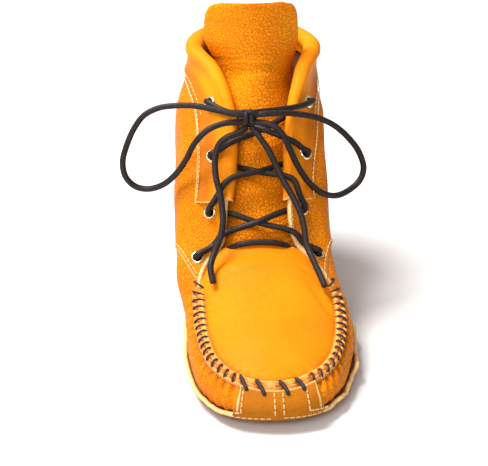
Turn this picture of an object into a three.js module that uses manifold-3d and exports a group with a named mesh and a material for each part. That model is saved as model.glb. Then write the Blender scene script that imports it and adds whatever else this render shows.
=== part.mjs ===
// Laced ankle moccasin boot, left foot, empty and standing on its sole.
// Millimetres, +Z up, toe toward -Y, +X to the outer side of the foot.
// The origin lies on the floor under the middle of the sole.
import * as THREE from "three";
import { mergeVertices } from "three/addons/utils/BufferGeometryUtils.js";
import Module from "manifold-3d";

// Overall sizes
const BOOT_LENGTH = 286;
const BALL_WIDTH = 108;
const TOE_HEIGHT = 22;
const COLLAR_HEIGHT = 158;
const TONGUE_HEIGHT = 195;

// Leather and thread sizes
const UPPER_WALL = 2.2;
const SOLE_WALL = 2.8;
const PLUG_WALL = 2;
const TONGUE_WALL = 1.8;
const CUFF_WALL = 1.8;
const INSOLE_WALL = 3;
const GAP = 0.3;

// Bottom of the last
const TOE_SPRING = 5;
const TOE_SPRING_LENGTH = 62;
const HEEL_SPRING = 2;
const HEEL_SPRING_LENGTH = 34;
const ARCH_RISE = 1.8;
const FEATHER_INSET = 9;
const TURNED_IN_MARGIN = 5;

// Seam, sole edge and toe tab
const SEAM_LIP = 1.8;
const SEAM_LIP_WIDTH = 3;
const SEAM_SLOPE_WIDTH = 1.2;
const SOLE_WAVE = 0.07;

// Cuff
const CUFF_GAP = 0.8;
const CUFF_FACE = 25;
const CUFF_LEG = 10;
const CUFF_THROAT_RADIUS = 3.4;
const CUFF_COLLAR_RADIUS = 5.6;

// Eyelets and lace
const EYELET_RADIUS = 4.4;
const EYELET_HOLE_RADIUS = 2.4;
const EYELET_BARREL_WALL = 0.45;
const EYELET_FLANGE = 0.9;
const EYELET_SEAT = 0.6;
const LACE_DIAMETER = 3.8;

const SKIN = GAP + SOLE_WALL;
const UPPER_LENGTH = BOOT_LENGTH - 2 * SKIN;
const BALL_HALF = BALL_WIDTH / 2 - SKIN;
const SHAFT_HEIGHT = COLLAR_HEIGHT - TOE_HEIGHT;

// Ribs of the last, from toe to heel. Each rib climbs from the widest line of the foot,
// past the girth, to the rim: the toe seam, then the throat edge, then the collar.
// Along: share of the upper's length from the toe. In and Out: share of the half ball width,
// toward the inner and the outer side. Foot rise: share of the toe height. Girth and rim rise:
// share of the shaft height above the toe height. Sole edge: how far round the foot's underside
// the sole wraps, from 0 at the feather line to 1 at the widest line.
const RIBS = [
  // footAlong, footIn, footOut, footRise, girthAlong, girthIn, girthOut, girthRise,
  // rimAlong, rimIn, rimOut, rimRise, soleEdge
  [0.0, 0.098, -0.098, 0.57, 0.013, 0.098, -0.098, -0.029, 0.044, 0.098, -0.098, 0.0, 0.72],
  [0.0055, 0.354, 0.157, 0.57, 0.0185, 0.344, 0.153, -0.029, 0.053, 0.334, 0.157, 0.002, 0.72],
  [0.0225, 0.588, 0.373, 0.57, 0.034, 0.57, 0.363, -0.026, 0.075, 0.53, 0.363, 0.009, 0.7],
  [0.059, 0.796, 0.58, 0.58, 0.069, 0.766, 0.56, -0.018, 0.107, 0.678, 0.55, 0.018, 0.66],
  [0.128, 0.955, 0.79, 0.6, 0.135, 0.933, 0.766, -0.007, 0.16, 0.806, 0.697, 0.035, 0.74],
  [0.236, 1.02, 0.953, 0.64, 0.239, 1.012, 0.939, 0.015, 0.25, 0.864, 0.806, 0.063, 0.86],
  [0.353, 0.982, 1.006, 0.68, 0.35, 1.022, 0.972, 0.059, 0.339, 0.864, 0.825, 0.11, 0.9],
  [0.454, 0.923, 0.953, 0.77, 0.428, 1.09, 0.884, 0.147, 0.382, 0.845, 0.756, 0.162, 0.88],
  [0.525, 0.874, 0.855, 0.86, 0.486, 1.06, 0.835, 0.257, 0.425, 0.727, 0.55, 0.235, 0.84],
  [0.589, 0.835, 0.747, 0.95, 0.536, 1.04, 0.825, 0.368, 0.454, 0.521, 0.363, 0.301, 0.78],
  [0.654, 0.815, 0.688, 1.0, 0.586, 1.03, 0.83, 0.485, 0.482, 0.472, 0.314, 0.441, 0.76],
  [0.718, 0.806, 0.648, 1.05, 0.643, 0.97, 0.84, 0.596, 0.557, 0.373, 0.354, 0.618, 0.74],
  [0.782, 0.796, 0.619, 1.09, 0.704, 0.955, 0.86, 0.676, 0.625, 0.373, 0.432, 0.801, 0.7],
  [0.854, 0.756, 0.57, 1.14, 0.782, 0.95, 0.86, 0.721, 0.707, 0.53, 0.609, 0.934, 0.68],
  [0.929, 0.609, 0.413, 1.18, 0.875, 0.79, 0.73, 0.713, 0.797, 0.76, 0.785, 0.996, 0.66],
  [0.985, 0.373, 0.177, 1.18, 0.943, 0.432, 0.314, 0.706, 0.904, 0.472, 0.511, 1.0, 0.64],
  [1.0, 0.098, -0.098, 1.18, 0.972, 0.079, -0.079, 0.706, 0.945, -0.02, 0.02, 0.978, 0.64],
];
const HEEL_RIB = RIBS.length - 1;
const LOOP_COUNT = 2 * HEEL_RIB;
const THROAT_BASE = 7;

const depthOf = (share) => SKIN + share * UPPER_LENGTH;
const riseOf = (share) => TOE_HEIGHT + share * SHAFT_HEIGHT;

// One closed loop of ribs: up the outer side from the toe, round the heel, back down the inner.
const LOOP = [];
for (let k = 0; k < LOOP_COUNT; k += 1) {
  const outer = k <= HEEL_RIB;
  const row = RIBS[outer ? k : LOOP_COUNT - k];
  const side = (inner, out) => (outer ? out : -inner) * BALL_HALF;
  LOOP.push([
    depthOf(row[0]), side(row[1], row[2]), row[3] * TOE_HEIGHT,
    depthOf(row[4]), side(row[5], row[6]), riseOf(row[7]),
    depthOf(row[8]), side(row[9], row[10]), riseOf(row[11]), row[12],
  ]);
}

// Smooth periodic curve through the loop's rows.
function loopRow(u) {
  const i = Math.floor(u);
  const f = u - i;
  const row = (n) => LOOP[(((i + n) % LOOP_COUNT) + LOOP_COUNT) % LOOP_COUNT];
  const [a, b, c, d] = [row(-1), row(0), row(1), row(2)];
  return b.map((_, j) => 0.5 * (2 * b[j] + (c[j] - a[j]) * f
    + (2 * a[j] - 5 * b[j] + 4 * c[j] - d[j]) * f * f
    + (3 * b[j] - a[j] - 3 * c[j] + d[j]) * f * f * f));
}

const clamp01 = (t) => Math.min(1, Math.max(0, t));
const smooth = (t) => clamp01(t) ** 2 * (3 - 2 * clamp01(t));

// Height of the upper's underside over the floor: toe spring, arch and the heel's roll.
function bottomHeight(depth) {
  const toe = Math.max(0, (TOE_SPRING_LENGTH - depth) / TOE_SPRING_LENGTH);
  const heel = Math.max(0, (depth - BOOT_LENGTH + HEEL_SPRING_LENGTH) / HEEL_SPRING_LENGTH);
  const along = depth / BOOT_LENGTH;
  const arch = smooth((along - 0.43) / 0.14) * smooth((0.78 - along) / 0.14);
  return SKIN + TOE_SPRING * toe * toe + HEEL_SPRING * heel * heel + ARCH_RISE * arch;
}

// Foot line of the last: its point and its outward direction in plan.
function footFrame(u) {
  const step = 1e-3;
  const row = loopRow(u);
  const [after, before] = [loopRow(u + step), loopRow(u - step)];
  const alongX = after[1] - before[1];
  const alongD = after[0] - before[0];
  const size = Math.hypot(alongX, alongD);
  let outX = alongD / size;
  let outD = -alongX / size;
  if (outX * row[1] + outD * (row[0] - BOOT_LENGTH / 2) < 0) {
    outX = -outX;
    outD = -outD;
  }
  return { row, outX, outD };
}

const point = (x, depth, z) => new THREE.Vector3(x, depth - BOOT_LENGTH / 2, z);

// Outer surface of the upper. v runs from 0 at the feather line, by 1 at the foot line and
// 2 at the girth, to 3 at the rim; below 0 it is the margin turned in under the foot.
function surface(u, v) {
  const { row, outX, outD } = footFrame(u);
  const [footD, footX, footZ, girthD, girthX, girthZ, rimD, rimX, rimZ] = row;
  if (v <= 1) {
    const turn = Math.max(v, 0) * Math.PI / 2;
    const inset = FEATHER_INSET * (1 - Math.sin(turn)) + TURNED_IN_MARGIN * Math.max(-v, 0);
    const depth = footD - outD * inset;
    const low = bottomHeight(depth);
    const rise = (footZ - low) * (1 - Math.cos(turn));
    return point(footX - outX * inset, depth, low + rise);
  }
  const foot = point(footX, footD, footZ);
  const girth = point(girthX, girthD, girthZ);
  const rim = point(rimX, rimD, rimZ);
  const lower = girth.distanceTo(foot);
  const upper = rim.distanceTo(girth);
  const middle = rim.clone().sub(foot).normalize();
  if (v <= 2) {
    return hermite(foot, new THREE.Vector3(0, 0, lower), girth, middle.multiplyScalar(lower), v - 1);
  }
  const last = rim.clone().sub(girth).multiplyScalar(1.1);
  return hermite(girth, middle.multiplyScalar(upper), rim, last, v - 2);
}

function hermite(a, ta, b, tb, t) {
  const [t2, t3] = [t * t, t * t * t];
  return a.clone().multiplyScalar(2 * t3 - 3 * t2 + 1)
    .addScaledVector(ta, t3 - 2 * t2 + t)
    .addScaledVector(b, 3 * t2 - 2 * t3)
    .addScaledVector(tb, t3 - t2);
}

// Outward normal of that surface.
function normalAt(u, v) {
  const step = 0.004;
  const [vLow, vHigh] = [Math.max(v - step, -1), Math.min(v + step, 3)];
  const alongU = surface(u + step, v).sub(surface(u - step, v));
  const alongV = surface(u, vHigh).sub(surface(u, vLow));
  return alongU.cross(alongV).normalize();
}

const skin = (u, v, lift) => surface(u, v).addScaledVector(normalAt(u, v), lift);

// A closed mesh under construction: triangles over shared points.
class Shell {
  constructor() {
    this.corners = [];
  }

  // Leaves out a triangle that has shrunk to an edge or a point.
  triangle(a, b, c) {
    const same = (p, q) => p.every((value, i) => Math.abs(value - q[i]) < 1e-6);
    if (!same(a, b) && !same(b, c) && !same(c, a)) this.corners.push(...a, ...b, ...c);
  }

  quad(a, b, c, d) {
    this.triangle(a, b, c);
    this.triangle(a, c, d);
  }

  // Joins two rows of points, closing the row when it is a ring.
  strip(lower, upper, ring) {
    const count = ring ? lower.length : lower.length - 1;
    for (let i = 0; i < count; i += 1) {
      const j = (i + 1) % lower.length;
      this.quad(lower[i], lower[j], upper[j], upper[i]);
    }
  }

  geometry() {
    const raw = new THREE.BufferGeometry();
    raw.setAttribute("position", new THREE.Float32BufferAttribute(this.corners, 3));
    return raw;
  }
}

const wasm = await Module();
wasm.setup();

function solidOf(geometry) {
  const bare = geometry.clone();
  bare.deleteAttribute("normal");
  bare.deleteAttribute("uv");
  const merged = mergeVertices(bare, 1e-4);
  return new wasm.Manifold(new wasm.Mesh({
    numProp: 3,
    vertProperties: merged.attributes.position.array,
    triVerts: new Uint32Array(merged.index.array),
  }));
}

function geometryOf(solid) {
  const mesh = solid.getMesh();
  const geometry = new THREE.BufferGeometry();
  geometry.setAttribute("position", new THREE.Float32BufferAttribute(mesh.vertProperties, 3));
  geometry.setIndex(new THREE.Uint32BufferAttribute(mesh.triVerts, 1));
  return geometry;
}

function material(color, roughness, metalness = 0) {
  return new THREE.MeshStandardMaterial({ color, roughness, metalness });
}

const GOLD_HIDE = material(0xe8920c, 0.6);
const PLUG_HIDE = material(0xf5a50a, 0.5);
const SOLE_HIDE = material(0xc9781c, 0.7);
const CUFF_HIDE = material(0xf0a818, 0.45);
const SUEDE = material(0x7a4a1c, 0.95);
const NICKEL = material(0xcfc8b4, 0.3, 1);
const LACE_HIDE = material(0x2a1f1c, 0.6);

const boot = new THREE.Group();

function addPiece(name, geometry, finish) {
  const mesh = new THREE.Mesh(geometry, finish);
  mesh.name = name;
  boot.add(mesh);
}

// Stations round the loop, the same on both sides of the toe, with a few more at the tab's sides.
const STATIONS_PER_RIB = 2;
// Where the toe tab ends on each side, in ribs: as far to the inner side of the toe as to the outer.
const TAB_INNER_RIB = 1.5;
const TAB_OUTER_RIB = 2.5;
// The tab's rounded side: how far past its rib, and how high up the ribs it reaches there.
const TAB_SIDE = [
  // pastRib, edge
  [0.15, 2],
  [0.3, 1],
];
const STATIONS = [];
for (let i = 0; i < LOOP_COUNT * STATIONS_PER_RIB; i += 1) {
  STATIONS.push(i / STATIONS_PER_RIB);
}
for (const [pastRib] of TAB_SIDE) {
  for (const rib of [TAB_INNER_RIB, TAB_OUTER_RIB]) {
    STATIONS.push(rib + pastRib, LOOP_COUNT - rib - pastRib);
  }
}
STATIONS.sort((a, b) => a - b);
const fromToe = (u) => Math.min(u, LOOP_COUNT - u);
const triple = (p) => [p.x, p.y, p.z];

// Distance from the rim along a rib, as the v to use.
function setback(u, distance) {
  let [v, left, here] = [3, distance, surface(u, 3)];
  const step = 0.02;
  while (v > 1.2) {
    const next = surface(u, v - step);
    const run = next.distanceTo(here);
    if (run >= left) return v - step * left / run;
    left -= run;
    v -= step;
    here = next;
  }
  return v;
}

// Point beyond the rim of the upper, straight on along the rib.
function beyondRim(u, distance) {
  const rim = surface(u, 3);
  const along = rim.clone().sub(surface(u, 2.97)).normalize();
  return rim.addScaledVector(along, distance);
}

// Point at a distance past the rim, or before it where that is negative, and at a lift.
function acrossRim(u, past, lift) {
  if (past >= 0) return beyondRim(u, past).addScaledVector(normalAt(u, 3), lift);
  return skin(u, setback(u, -past), lift);
}

// Heights up a rib at which the walls have their edges, from the margin to the seam lip's foot.
function levelsOf(u) {
  const lipFoot = setback(u, SEAM_LIP_WIDTH + SEAM_SLOPE_WIDTH);
  const above = [0.35, 0.7].map((share) => 2 + (lipFoot - 2) * share);
  return [-1, 0, 0.33, 0.67, 1, 1.33, 1.66, 2, ...above];
}
const LEVELS = STATIONS.map(levelsOf);
const LEVEL_COUNT = LEVELS[0].length;

// Rows of points over the stations, one for each level, at one lift from the upper's outside.
function rowsAt(lift, levelAt) {
  const rows = [];
  for (let row = 0; row < LEVEL_COUNT; row += 1) {
    rows.push(STATIONS.map((u, i) => triple(skin(u, levelAt(LEVELS[i][row], i), lift))));
  }
  return rows;
}

// The seam lip runs out just before the throat base.
const lipShare = (near) => smooth((THROAT_BASE - near) / 0.9);

// Upper: one hollow hull with its seam lip, turned in under the foot. Grown by a clearance on
// all sides, it is the room that the pieces round it leave free.
function upperSolid(grown = 0) {
  const shell = new Shell();
  const outer = rowsAt(grown, (level) => level);
  const inner = rowsAt(-UPPER_WALL - grown, (level) => level);
  const lipAt = (u) => SEAM_LIP * lipShare(fromToe(u));
  const rimSteps = [
    [SEAM_LIP_WIDTH + SEAM_SLOPE_WIDTH, 0],
    [SEAM_LIP_WIDTH, 1],
    [0, 1],
  ];
  for (const [distance, share] of rimSteps) {
    const past = distance > 0 ? -distance : grown;
    const row = (liftOf) => STATIONS.map((u) => triple(acrossRim(u, past, liftOf(u))));
    outer.push(row((u) => lipAt(u) * share + grown));
    inner.push(row(() => -UPPER_WALL - grown));
  }
  for (let i = 0; i + 1 < outer.length; i += 1) {
    shell.strip(outer[i], outer[i + 1], true);
    shell.strip(inner[i + 1], inner[i], true);
  }
  shell.strip(outer.at(-1), inner.at(-1), true);
  shell.strip(inner[0], outer[0], true);
  return solidOf(shell.geometry());
}

// How far up the ribs the sole wraps: its low wavy edge, and the tab up the toe.
function soleEdge(u) {
  const near = fromToe(u);
  const turn = u < LOOP_COUNT / 2 ? 1 : -1;
  const tabRib = turn > 0 ? TAB_OUTER_RIB : TAB_INNER_RIB;
  const wave = SOLE_WAVE * (Math.sin(near * 4.1 + turn) + Math.sin(near * 1.7 + 2 * turn)) / 2;
  const low = loopRow(u).at(-1) + wave * smooth((near - tabRib) / 1.5);
  if (near <= tabRib) return setback(u, SEAM_LIP_WIDTH + SEAM_SLOPE_WIDTH + GAP);
  const side = TAB_SIDE.find(([pastRib]) => near < tabRib + pastRib + 0.01);
  return side ? side[1] : low;
}

// Soft outer sole: flat where it stands, closed under the foot, wrapped up the sides.
function soleSolid() {
  const shell = new Shell();
  const edges = STATIONS.map(soleEdge);
  const wrap = (lift) => {
    const rows = rowsAt(lift, (level, i) => Math.min(level, edges[i]));
    rows.push(STATIONS.map((u, i) => triple(skin(u, edges[i], lift))));
    rows.slice(0, 2).flat().forEach((p) => {
      p[2] = bottomHeight(p[1] + BOOT_LENGTH / 2) - lift;
    });
    return rows;
  };
  const outer = wrap(SKIN);
  const inner = wrap(GAP);
  for (let i = 0; i + 1 < outer.length; i += 1) {
    shell.strip(outer[i], outer[i + 1], true);
    shell.strip(inner[i + 1], inner[i], true);
  }
  shell.strip(outer.at(-1), inner.at(-1), true);
  ladder(shell, outer[0], false);
  ladder(shell, inner[0], true);
  return solidOf(shell.geometry());
}

// Fills a ring across from side to side; the ring starts at the toe.
function ladder(shell, ring, faceUp) {
  const count = ring.length;
  const face = (a, b, c) => (faceUp ? shell.triangle(a, b, c) : shell.triangle(a, c, b));
  for (let i = 0; i < count / 2; i += 1) {
    const [a, b] = [ring[i], ring[i + 1]];
    const [c, d] = [ring[(count - i - 1) % count], ring[(count - i) % count]];
    if (i === 0) face(a, b, c);
    else if (i + 1 === count / 2) face(a, b, d);
    else {
      face(a, b, c);
      face(a, c, d);
    }
  }
}

// A curved sheet as a closed solid, from a grid of points on its outside: raised by liftAt,
// with its underside one wall below the grid. facingAt may give the way that a point faces.
function sheetSolid(grid, wall, liftAt, facingAt = () => null) {
  const shell = new Shell();
  const [rows, columns] = [grid.length, grid[0].length];
  const at = (r, c) => grid[Math.min(rows - 1, Math.max(0, r))][Math.min(columns - 1, Math.max(0, c))];
  const normal = (r, c) => facingAt(r, c) ?? at(r, c + 1).clone().sub(at(r, c - 1))
    .cross(at(r + 1, c).clone().sub(at(r - 1, c))).normalize();
  const layer = (lift) => grid.map((row, r) => row.map((p, c) => (
    triple(p.clone().addScaledVector(normal(r, c), lift(r, c))))));
  const top = layer(liftAt);
  const under = layer(() => -wall);
  for (let r = 0; r + 1 < rows; r += 1) {
    shell.strip(top[r], top[r + 1], false);
    shell.strip(under[r + 1], under[r], false);
  }
  const border = (rowsOf) => [
    ...rowsOf[0],
    ...rowsOf.slice(1).map((row) => row.at(-1)),
    ...rowsOf.at(-1).slice(0, -1).reverse(),
    ...rowsOf.slice(1, -1).map((row) => row[0]).reverse(),
  ];
  shell.strip(border(under), border(top), true);
  return solidOf(shell.geometry());
}

// Crown of the plug over its seam, as a share of the shaft height, by rib from the toe.
const PLUG_CROWN = [0.008, 0.02, 0.037, 0.06, 0.086, 0.11, 0.118, 0.116];
// Rear end of the plug, behind the throat base, where it lies under the throat's edges.
const PLUG_REAR = [
  // along, edgeIn, edgeOut, edgeRise, crown
  [0.404, 0.77, 0.65, 0.135, 0.143],
  [0.428, 0.7, 0.55, 0.145, 0.147],
];
const PLUG_FULLNESS = 2.2;
const PLUG_STATIONS = STATIONS.filter((u) => u >= 0.5 && u <= THROAT_BASE);

function plugRow(inner, outer, crown) {
  const half = inner.distanceTo(outer) / 2;
  const edge = [0, SEAM_LIP_WIDTH, SEAM_LIP_WIDTH + SEAM_SLOPE_WIDTH];
  const fromEdge = edge.map((distance, i) => Math.min(distance, half * (0.2 + 0.1 * i)));
  const innerHalf = [...fromEdge.map((distance) => distance / half - 1), -0.62, -0.32];
  const shares = [...innerHalf, 0, ...innerHalf.map((share) => -share).reverse()];
  return shares.map((w) => {
    const p = inner.clone().lerp(outer, (1 + w) / 2);
    p.z += crown * SHAFT_HEIGHT * (1 - Math.abs(w) ** PLUG_FULLNESS);
    return p;
  });
}

function crownAt(near) {
  const k = Math.min(Math.floor(near), PLUG_CROWN.length - 2);
  return PLUG_CROWN[k] + (PLUG_CROWN[k + 1] - PLUG_CROWN[k]) * (near - k);
}

// Plug: the crowned patch over the toes and instep, with the inner half of the seam lip.
function plugGrid() {
  const seam = PLUG_STATIONS.map((near) => {
    const gap = GAP + GAP * 2 * smooth(near - THROAT_BASE + 1);
    return plugRow(beyondRim(LOOP_COUNT - near, gap), beyondRim(near, gap), crownAt(near));
  });
  const rear = PLUG_REAR.map(([along, edgeIn, edgeOut, rise, crown]) => plugRow(
    point(-edgeIn * BALL_HALF, depthOf(along), riseOf(rise)),
    point(edgeOut * BALL_HALF, depthOf(along), riseOf(rise)),
    crown,
  ));
  return [...seam, ...rear];
}

function plugSolid(grid) {
  const toe = grid[0][Math.floor(grid[0].length / 2)];
  const last = grid[0].length - 1;
  const facingAt = (r, c) => {
    const station = PLUG_STATIONS[r];
    if (station === undefined || (r > 0 && c > 0 && c < last)) return null;
    const turn = 1 - 2 * c / last;
    return normalAt(turn > 0 ? LOOP_COUNT - station * turn : -station * turn, 3);
  };
  return sheetSolid(grid, PLUG_WALL, (r, c) => {
    const fromSide = Math.min(grid[r][c].distanceTo(grid[r][0]), grid[r][c].distanceTo(grid[r].at(-1)));
    const fromToeEdge = grid[r][c].y - toe.y;
    const distance = Math.min(fromSide, fromToeEdge) - SEAM_LIP_WIDTH;
    const station = PLUG_STATIONS[r] ?? THROAT_BASE;
    return SEAM_LIP * (1 - smooth(distance / SEAM_SLOPE_WIDTH)) * lipShare(station);
  }, facingAt);
}

// Tongue, from its sewn end under the plug to its free top. Middle and half width: shares of
// the half ball width. Sag: how far its sides curl back, likewise. Rise: from 0 at the toe
// height by 1 at the collar height to 2 at the tongue height.
const TONGUE_ROWS = [
  // along, middle, halfWidth, sag, rise
  [0.404, -0.09, 0.38, 0.16, 0.257],
  [0.436, -0.09, 0.42, 0.2, 0.276],
  [0.467, -0.1, 0.52, 0.16, 0.334],
  [0.514, -0.08, 0.6, 0.24, 0.44],
  [0.588, -0.06, 0.66, 0.36, 0.62],
  [0.638, -0.04, 0.64, 0.4, 0.777],
  [0.675, 0.02, 0.39, 0.34, 0.928],
  [0.688, 0.01, 0.41, 0.28, 1],
  [0.698, -0.03, 0.56, 0.24, 1.315],
  [0.709, -0.04, 0.6, 0.26, 1.631],
  [0.713, -0.04, 0.56, 0.22, 1.842],
  [0.714, -0.04, 0.48, 0.17, 1.947],
  [0.715, -0.04, 0.4, 0.13, 2],
];
const TONGUE_SHARES = [-1, -0.8, -0.55, -0.28, 0, 0.28, 0.55, 0.8, 1];

const tongueHeightAt = (rise) => (
  rise <= 1 ? riseOf(rise) : COLLAR_HEIGHT + (rise - 1) * (TONGUE_HEIGHT - COLLAR_HEIGHT));

function tongueGrid() {
  const middle = TONGUE_ROWS.map(([along, shift, , , rise]) => (
    point(shift * BALL_HALF, depthOf(along), tongueHeightAt(rise))));
  return TONGUE_ROWS.map(([, , halfWidth, sag], i) => {
    const climb = middle[Math.min(i + 1, middle.length - 1)].clone().sub(middle[Math.max(i - 1, 0)]);
    const back = new THREE.Vector3(0, climb.z, -climb.y).normalize();
    return TONGUE_SHARES.map((w) => middle[i].clone()
      .add(new THREE.Vector3(w * halfWidth * BALL_HALF, 0, 0))
      .addScaledVector(back, sag * BALL_HALF * w * w));
  });
}

// Insole: lies on the turned-in margin, with its edge against the upper's inside.
function insoleSolid() {
  const shell = new Shell();
  const under = UPPER_WALL + GAP;
  const floorOf = (p) => bottomHeight(p[1] + BOOT_LENGTH / 2) + under;
  const rows = [0, 0.33].map((v) => STATIONS.map((u) => triple(skin(u, v, -under))));
  rows[0].forEach((p) => {
    p[2] = floorOf(p);
  });
  const raised = (row) => row.map((p) => [p[0], p[1], floorOf(p) + INSOLE_WALL]);
  const all = [...rows, raised(rows[1]), raised(rows[0])];
  for (let i = 0; i + 1 < all.length; i += 1) shell.strip(all[i], all[i + 1], true);
  ladder(shell, all[0], false);
  ladder(shell, all.at(-1), true);
  return solidOf(shell.geometry());
}

// Cuff: a rolled binding over the throat edges and the collar, between its two lower ends.
const CUFF_END = 10.25;
const CUFF_STATIONS = STATIONS.filter((u) => fromToe(u) > CUFF_END + 0.1);
CUFF_STATIONS.unshift(CUFF_END);
CUFF_STATIONS.push(LOOP_COUNT - CUFF_END);
const CUFF_ROLL_FOOT = 6.2;
// The roll swells from its throat radius to its collar radius over these stations.
const CUFF_SWELL = { from: 11.5, over: 2.5 };
const ROLL_ANGLES = [100, 60, 20, -20, -60, -100];

// Profile round the rim: distance past the rim along the rib, and lift off the upper's outside.
function cuffProfile(u) {
  const share = smooth((fromToe(u) - CUFF_SWELL.from) / CUFF_SWELL.over);
  const radius = CUFF_THROAT_RADIUS + (CUFF_COLLAR_RADIUS - CUFF_THROAT_RADIUS) * share;
  const roll = ROLL_ANGLES.map((degrees) => {
    const angle = THREE.MathUtils.degToRad(degrees);
    return [radius * Math.cos(angle), radius * Math.sin(angle) - UPPER_WALL / 2];
  });
  const inside = -UPPER_WALL - GAP;
  const face = [1, 0.67, 0.33].map((part) => -CUFF_FACE * part);
  return [
    ...face.map((past) => [past, CUFF_GAP + CUFF_WALL]),
    ...roll,
    [-CUFF_ROLL_FOOT, inside - CUFF_WALL],
    [-CUFF_LEG, inside - CUFF_WALL],
    [-CUFF_LEG, inside],
    [-CUFF_ROLL_FOOT, inside],
    [GAP, inside],
    [GAP, CUFF_GAP],
    ...face.map((past) => [past, CUFF_GAP]).reverse(),
  ];
}

function cuffSolid() {
  const shell = new Shell();
  const rings = CUFF_STATIONS.map((u) => (
    cuffProfile(u).map(([past, lift]) => triple(acrossRim(u, past, lift)))));
  for (let i = 0; i + 1 < rings.length; i += 1) shell.strip(rings[i + 1], rings[i], true);
  const flat = cuffProfile(CUFF_END).map(([past, lift]) => new THREE.Vector2(past, lift));
  const turning = Math.sign(THREE.ShapeUtils.area(flat));
  for (const face of THREE.ShapeUtils.triangulateShape(flat, [])) {
    const along = Math.sign(THREE.ShapeUtils.area(face.map((i) => flat[i]))) === turning;
    const [a, b, c] = along ? face : face.toReversed();
    shell.triangle(rings[0][a], rings[0][b], rings[0][c]);
    shell.triangle(rings.at(-1)[c], rings.at(-1)[b], rings.at(-1)[a]);
  }
  return solidOf(shell.geometry());
}

// Eyelets from the collar down: rib station and setback from the rim.
const EYELETS = [
  // near, setback
  [12.3, 11],
  [10.95, 13.5],
  [9.65, 13],
  [7.95, 7.5],
];
const EYELET_SIDES = 10;
const HOLE_SIDES = 8;
const underCuff = (near) => near > CUFF_END;
const outsideLift = (near) => (underCuff(near) ? CUFF_GAP + CUFF_WALL : 0);

function eyeletPlace(index, side) {
  const [near, back] = EYELETS[index];
  const u = side > 0 ? near : LOOP_COUNT - near;
  const v = setback(u, back);
  const axis = normalAt(u, v);
  return { near, axis, centre: skin(u, v, outsideLift(near)) };
}

// Turns a shape made about +Z to stand on a place along its axis.
function standAt(geometry, { centre, axis }) {
  const turn = new THREE.Quaternion().setFromUnitVectors(new THREE.Vector3(0, 0, 1), axis);
  return geometry.applyQuaternion(turn).translate(centre.x, centre.y, centre.z);
}

function eyeletGeometry(place) {
  const barrel = EYELET_HOLE_RADIUS + EYELET_BARREL_WALL;
  const depth = UPPER_WALL + outsideLift(place.near);
  const profile = [
    [EYELET_HOLE_RADIUS, -depth],
    [barrel, -depth],
    [barrel, EYELET_SEAT],
    [EYELET_RADIUS, EYELET_SEAT],
    [barrel + GAP, EYELET_SEAT + EYELET_FLANGE],
    [EYELET_HOLE_RADIUS, EYELET_SEAT + EYELET_FLANGE * 0.5],
    [EYELET_HOLE_RADIUS, -depth],
  ].map(([r, z]) => new THREE.Vector2(r, z));
  const ring = new THREE.LatheGeometry(profile, EYELET_SIDES).rotateX(Math.PI / 2);
  return standAt(ring, place);
}

// The hole for an eyelet's barrel, right through cuff and upper.
function eyeletHole(place) {
  const radius = EYELET_HOLE_RADIUS + EYELET_BARREL_WALL + GAP;
  const length = 6 * (UPPER_WALL + CUFF_WALL);
  const corner = radius / Math.cos(Math.PI / HOLE_SIDES);
  const drill = new THREE.CylinderGeometry(corner, corner, length, HOLE_SIDES).rotateX(Math.PI / 2);
  return solidOf(standAt(drill, place));
}

// A lace strand: a tube with eight sides through its points.
const LACE_SIDES = 8;
const LACE_STEP = 3 * LACE_DIAMETER;

function laceTube(points) {
  const path = new THREE.CatmullRomCurve3(points, false, "centripetal");
  const section = new THREE.Shape().absarc(0, 0, LACE_DIAMETER / 2, 0, 2 * Math.PI, false);
  return new THREE.ExtrudeGeometry(section, {
    extrudePath: path,
    steps: Math.max(4, Math.round(path.getLength() / LACE_STEP)),
    curveSegments: LACE_SIDES / 2,
  });
}

// Crossings, from the toe up: the eyelet left from, where the strand passes over its own rim and
// where it dips under the other rim, as stations, and which side's strand lies over.
const CROSSINGS = [
  // eyelet, ownRim, otherRim, overSide, name
  [3, 9.3, 9.95, -1, "lace_crossing_low"],
  [2, 10.6, 10.95, -1, "lace_crossing_middle"],
  [1, 11.35, 11.9, 1, "lace_crossing_high"],
];
const LACE_CLEAR = LACE_DIAMETER / 2 + GAP;
const onSide = (near, side) => (side > 0 ? near : LOOP_COUNT - near);

// The strand's centre over an eyelet, over the rim and under the other rim.
function overEyelet(place) {
  return place.centre.clone().addScaledVector(place.axis, EYELET_SEAT + EYELET_FLANGE + LACE_CLEAR + GAP);
}

function overRim(near, side) {
  const bulge = underCuff(near) ? CUFF_THROAT_RADIUS - UPPER_WALL / 2 : 0;
  const u = onSide(near, side);
  const past = underCuff(near) ? 0.6 * CUFF_THROAT_RADIUS : 0;
  return beyondRim(u, past).addScaledVector(normalAt(u, 3), bulge + LACE_CLEAR + 2 * GAP);
}

function underRim(near, side) {
  const bulge = underCuff(near) ? CUFF_THROAT_RADIUS + UPPER_WALL / 2 : UPPER_WALL;
  return skin(onSide(near, side), 3, -bulge - LACE_CLEAR - GAP);
}

const THROAT_FORWARD = new THREE.Vector3(0, -0.8, 0.6);
const CROSSING_FORWARD = 2.8;

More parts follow.
